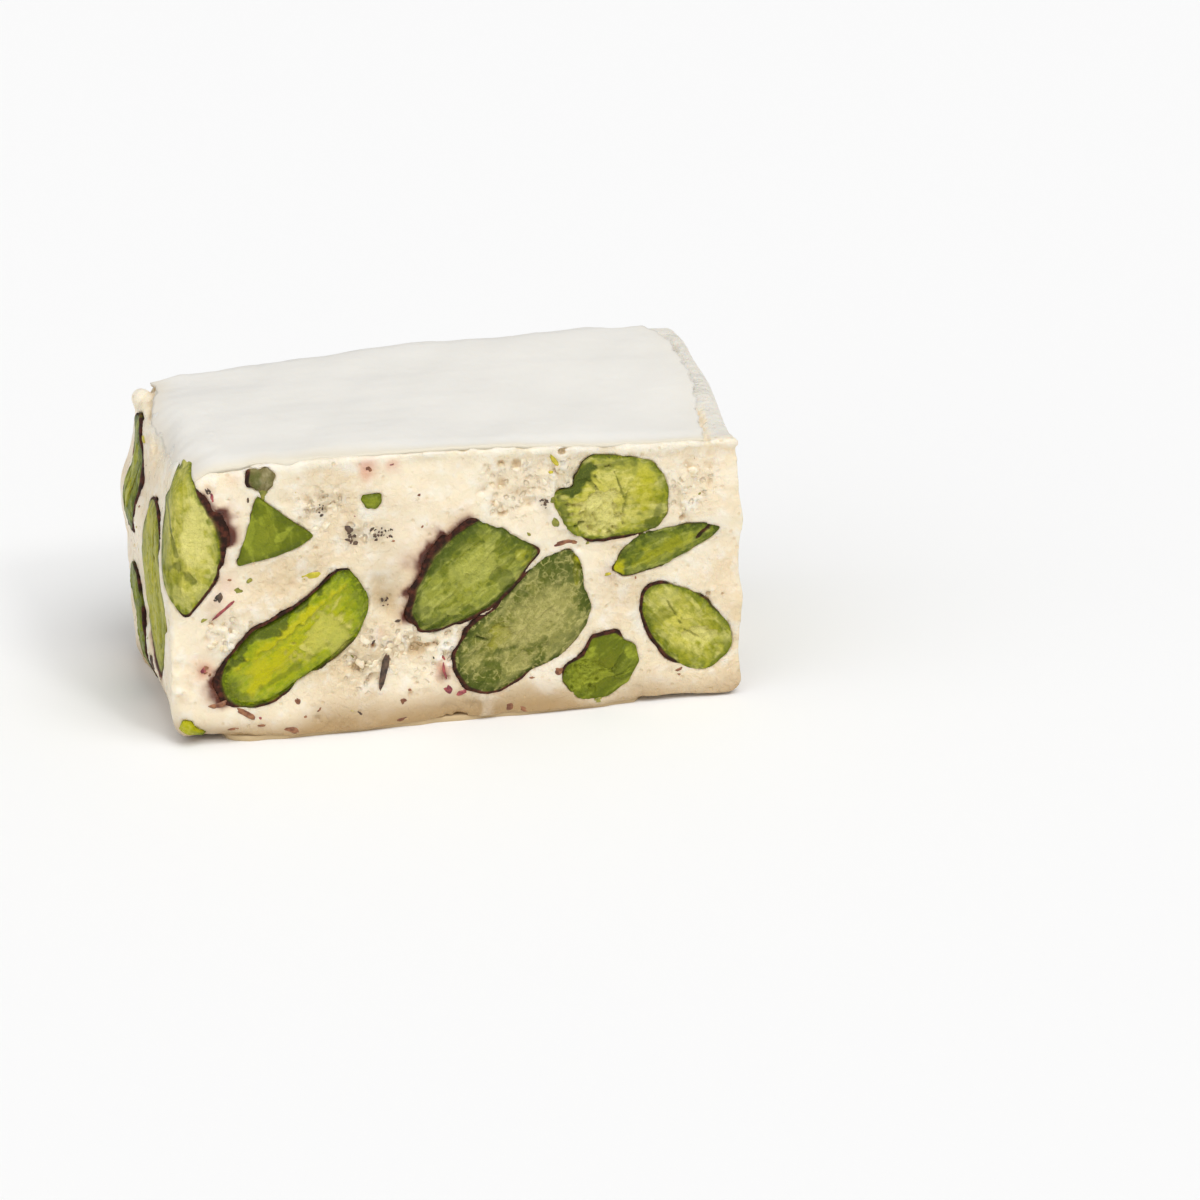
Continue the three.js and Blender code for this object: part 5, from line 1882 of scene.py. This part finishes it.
    def wanted(self) -> list[Bit]:
        """All the bits of this kind: the set ones, then those in patches, then those at random."""
        _, placed, patches, more = self.value
        draw = np.random.default_rng(100 + more)
        found = list(placed)
        thin = 0.45 if self is Bits.CREAM else 0.7
        for patch in patches:
            for _ in range(patch.count):
                a, z = np.array(patch.at) + draw.uniform(-1, 1, 2) * patch.spread
                size = patch.size * draw.uniform(0.5, 1.5)
                turn = draw.uniform(0, 180)
                if self.free(patch.side, (a, z), 0.12):
                    found.append(Bit(patch.side, (a, z), (size * 1.4, size * 0.9, size * thin), turn))
        spans = {B: (-26, 26), R: (-12.5, 12), L: (-9.5, 11), F: (-24, 26)}
        for n in range(more):
            side = (B, B, B, R, R, L, F)[n % 7]
            at = (draw.uniform(*spans[side]), draw.uniform(1.2, 25.4))
            size = (0.25 + 0.9 * draw.random() ** 2.5) * (0.55 if side is F else 1.0)
            turn = draw.uniform(0, 180)
            if self.free(side, at, 0.5):
                found.append(Bit(side, at, (size * 1.6, size * 0.8, 0.3), turn))
        return found

    @staticmethod
    def free(side: Side, at: Pair, margin: float) -> bool:
        """Whether a place on a side is on the nougat and this far from every kernel."""
        if not 0.9 < at[1] < 26.0:
            return False
        place = FORM.on(side, *at)[None]
        return all(k.side is not side or k.beyond(place)[0][0] > margin for k in KERNELS)

    def build(self, block: NougatBlock) -> bpy.types.Object:
        """Makes one piece of all the bits of this kind, set on the carved face of the block."""
        wanted = self.wanted()
        inward = np.array([bit.side.inward for bit in wanted])
        seats = FORM.settle(np.array([FORM.on(bit.side, *bit.at) for bit in wanted]), inward, 0.0)
        depths = block.depth_under(seats, -FORM.normal(seats))
        shapes = [bit.shape(seats[n], depths[n], n) for n, bit in enumerate(wanted)]
        slot = "nougat" if self is Bits.CREAM else "pistachio"
        return joined(shapes).build(self.name.lower() + "_bits", slot, self.value[0].material())


def ball(steps: int) -> tuple[Array, list[list[int]]]:
    """Points and faces of a round net, from a subdivided icosahedron."""
    net = bmesh.new()
    bmesh.ops.create_icosphere(net, subdivisions=steps, radius=1)
    points = np.array([v.co for v in net.verts])
    faces = [[v.index for v in f.verts] for f in net.faces]
    net.free()
    return points, faces


# ---- stage ----
@dataclass(frozen=True)
class Stage:
    """A pale floor, soft studio light and the camera. Lengths in mm."""

    floor_size: float = 4000
    eye: Triple = (-84.50411, -393.47773, 167.74)
    right: Triple = (0.96849, -0.24906, 0.0)
    up: Triple = (0.09266, 0.36032, 0.92821)
    lens: float = 135
    film: float = 36
    sky: float = 0.42  # light from all round

    @staticmethod
    def placed(name: str, data: bpy.types.ID) -> bpy.types.Object:
        """Adds an object with this data to the scene."""
        made = bpy.data.objects.new(name, data)
        bpy.context.collection.objects.link(made)
        return made

    def floor(self) -> None:
        """A plain pale sheet that the bar stands on."""
        half = self.floor_size / 2 * MM
        mesh = bpy.data.meshes.new("floor")
        corners = [(-half, -half, 0), (half, -half, 0), (half, half, 0), (-half, half, 0)]
        mesh.from_pydata(corners, [], [[0, 1, 2, 3]])
        mesh.materials.append(Dress("backdrop_paper").finish(tone("F6F6F6"), 0.9, Specular_IOR_Level=0.1))
        floor = self.placed("floor", mesh)

    def sun(self, name: str, turn: float, height: float, spread: float, strength: float) -> None:
        """A wide soft light that falls evenly on bar and floor.

        Args:
            name: the light's name.
            turn: how far to the right of the front it stands, degrees.
            height: its height over the floor, degrees.
            spread: its width as seen from the bar, degrees.
            strength: what it gives, W/m2.
        """
        light = bpy.data.lights.new(name, "SUN")
        light.energy, light.angle = strength, math.radians(spread)
        self.placed(name, light).rotation_euler = (math.radians(90 - height), 0, math.radians(turn))

    def camera(self) -> None:
        """The camera that looks at the bar from the front left, a little above."""
        data = bpy.data.cameras.new("camera")
        data.lens, data.sensor_width, data.sensor_fit = self.lens, self.film, "HORIZONTAL"
        data.clip_start, data.clip_end = 0.05, 20
        right, up = Vector(self.right).normalized(), Vector(self.up).normalized()
        turn = Matrix((right, up, right.cross(up).normalized())).transposed().to_4x4()
        camera = self.placed("camera", data)
        camera.matrix_world = Matrix.Translation(Vector(self.eye) * MM) @ turn
        bpy.context.scene.camera = camera

    def build(self) -> None:
        """Sets up the stage."""
        self.floor()
        self.sun("key", 28, 62, 38, 1.45)
        self.sun("glint", 24, 42, 9, 0.42)
        self.sun("fill", -62, 34, 70, 0.75)
        self.camera()
        scene = bpy.context.scene
        scene.world = bpy.data.worlds.new("studio")
        scene.world.use_nodes = True
        sky = scene.world.node_tree.nodes["Background"].inputs
        sky["Color"].default_value = (1, 1, 1, 1)
        sky["Strength"].default_value = self.sky
        scene.view_settings.view_transform = "Standard"
        scene.view_settings.look = "None"


def main() -> None:
    """Builds the stage, then the bar piece by piece."""
    logging.basicConfig(level=logging.INFO, format="%(name)s %(message)s")
    Stage().build()
    block = NougatBlock()
    block.shape().build("nougat_block", "nougat", CutNougat().material(), "nougat")
    for kernel in KERNELS:
        kernel.shape().build(kernel.name + "_cut", "pistachio", kernel.cut.finish, kernel.name)
    WaferTop().shape().build("wafer_sheet_top", "wafer_paper", WaferPaper().material(), "wafer_top")
    # the lower sheet is tan to match the darker foot: partly soaked through, partly painted shade
    soaked = WaferPaper("wafer_paper_soaked_and_shaded", white="D2BA92", streak="C4AA80", warm="C0A478")
    WaferBottom().shape().build("wafer_sheet_bottom", "wafer_paper", soaked.material(), "wafer_bottom")
    for bits in Bits:
        bits.build(block)


if __name__ == "__main__":
    main()
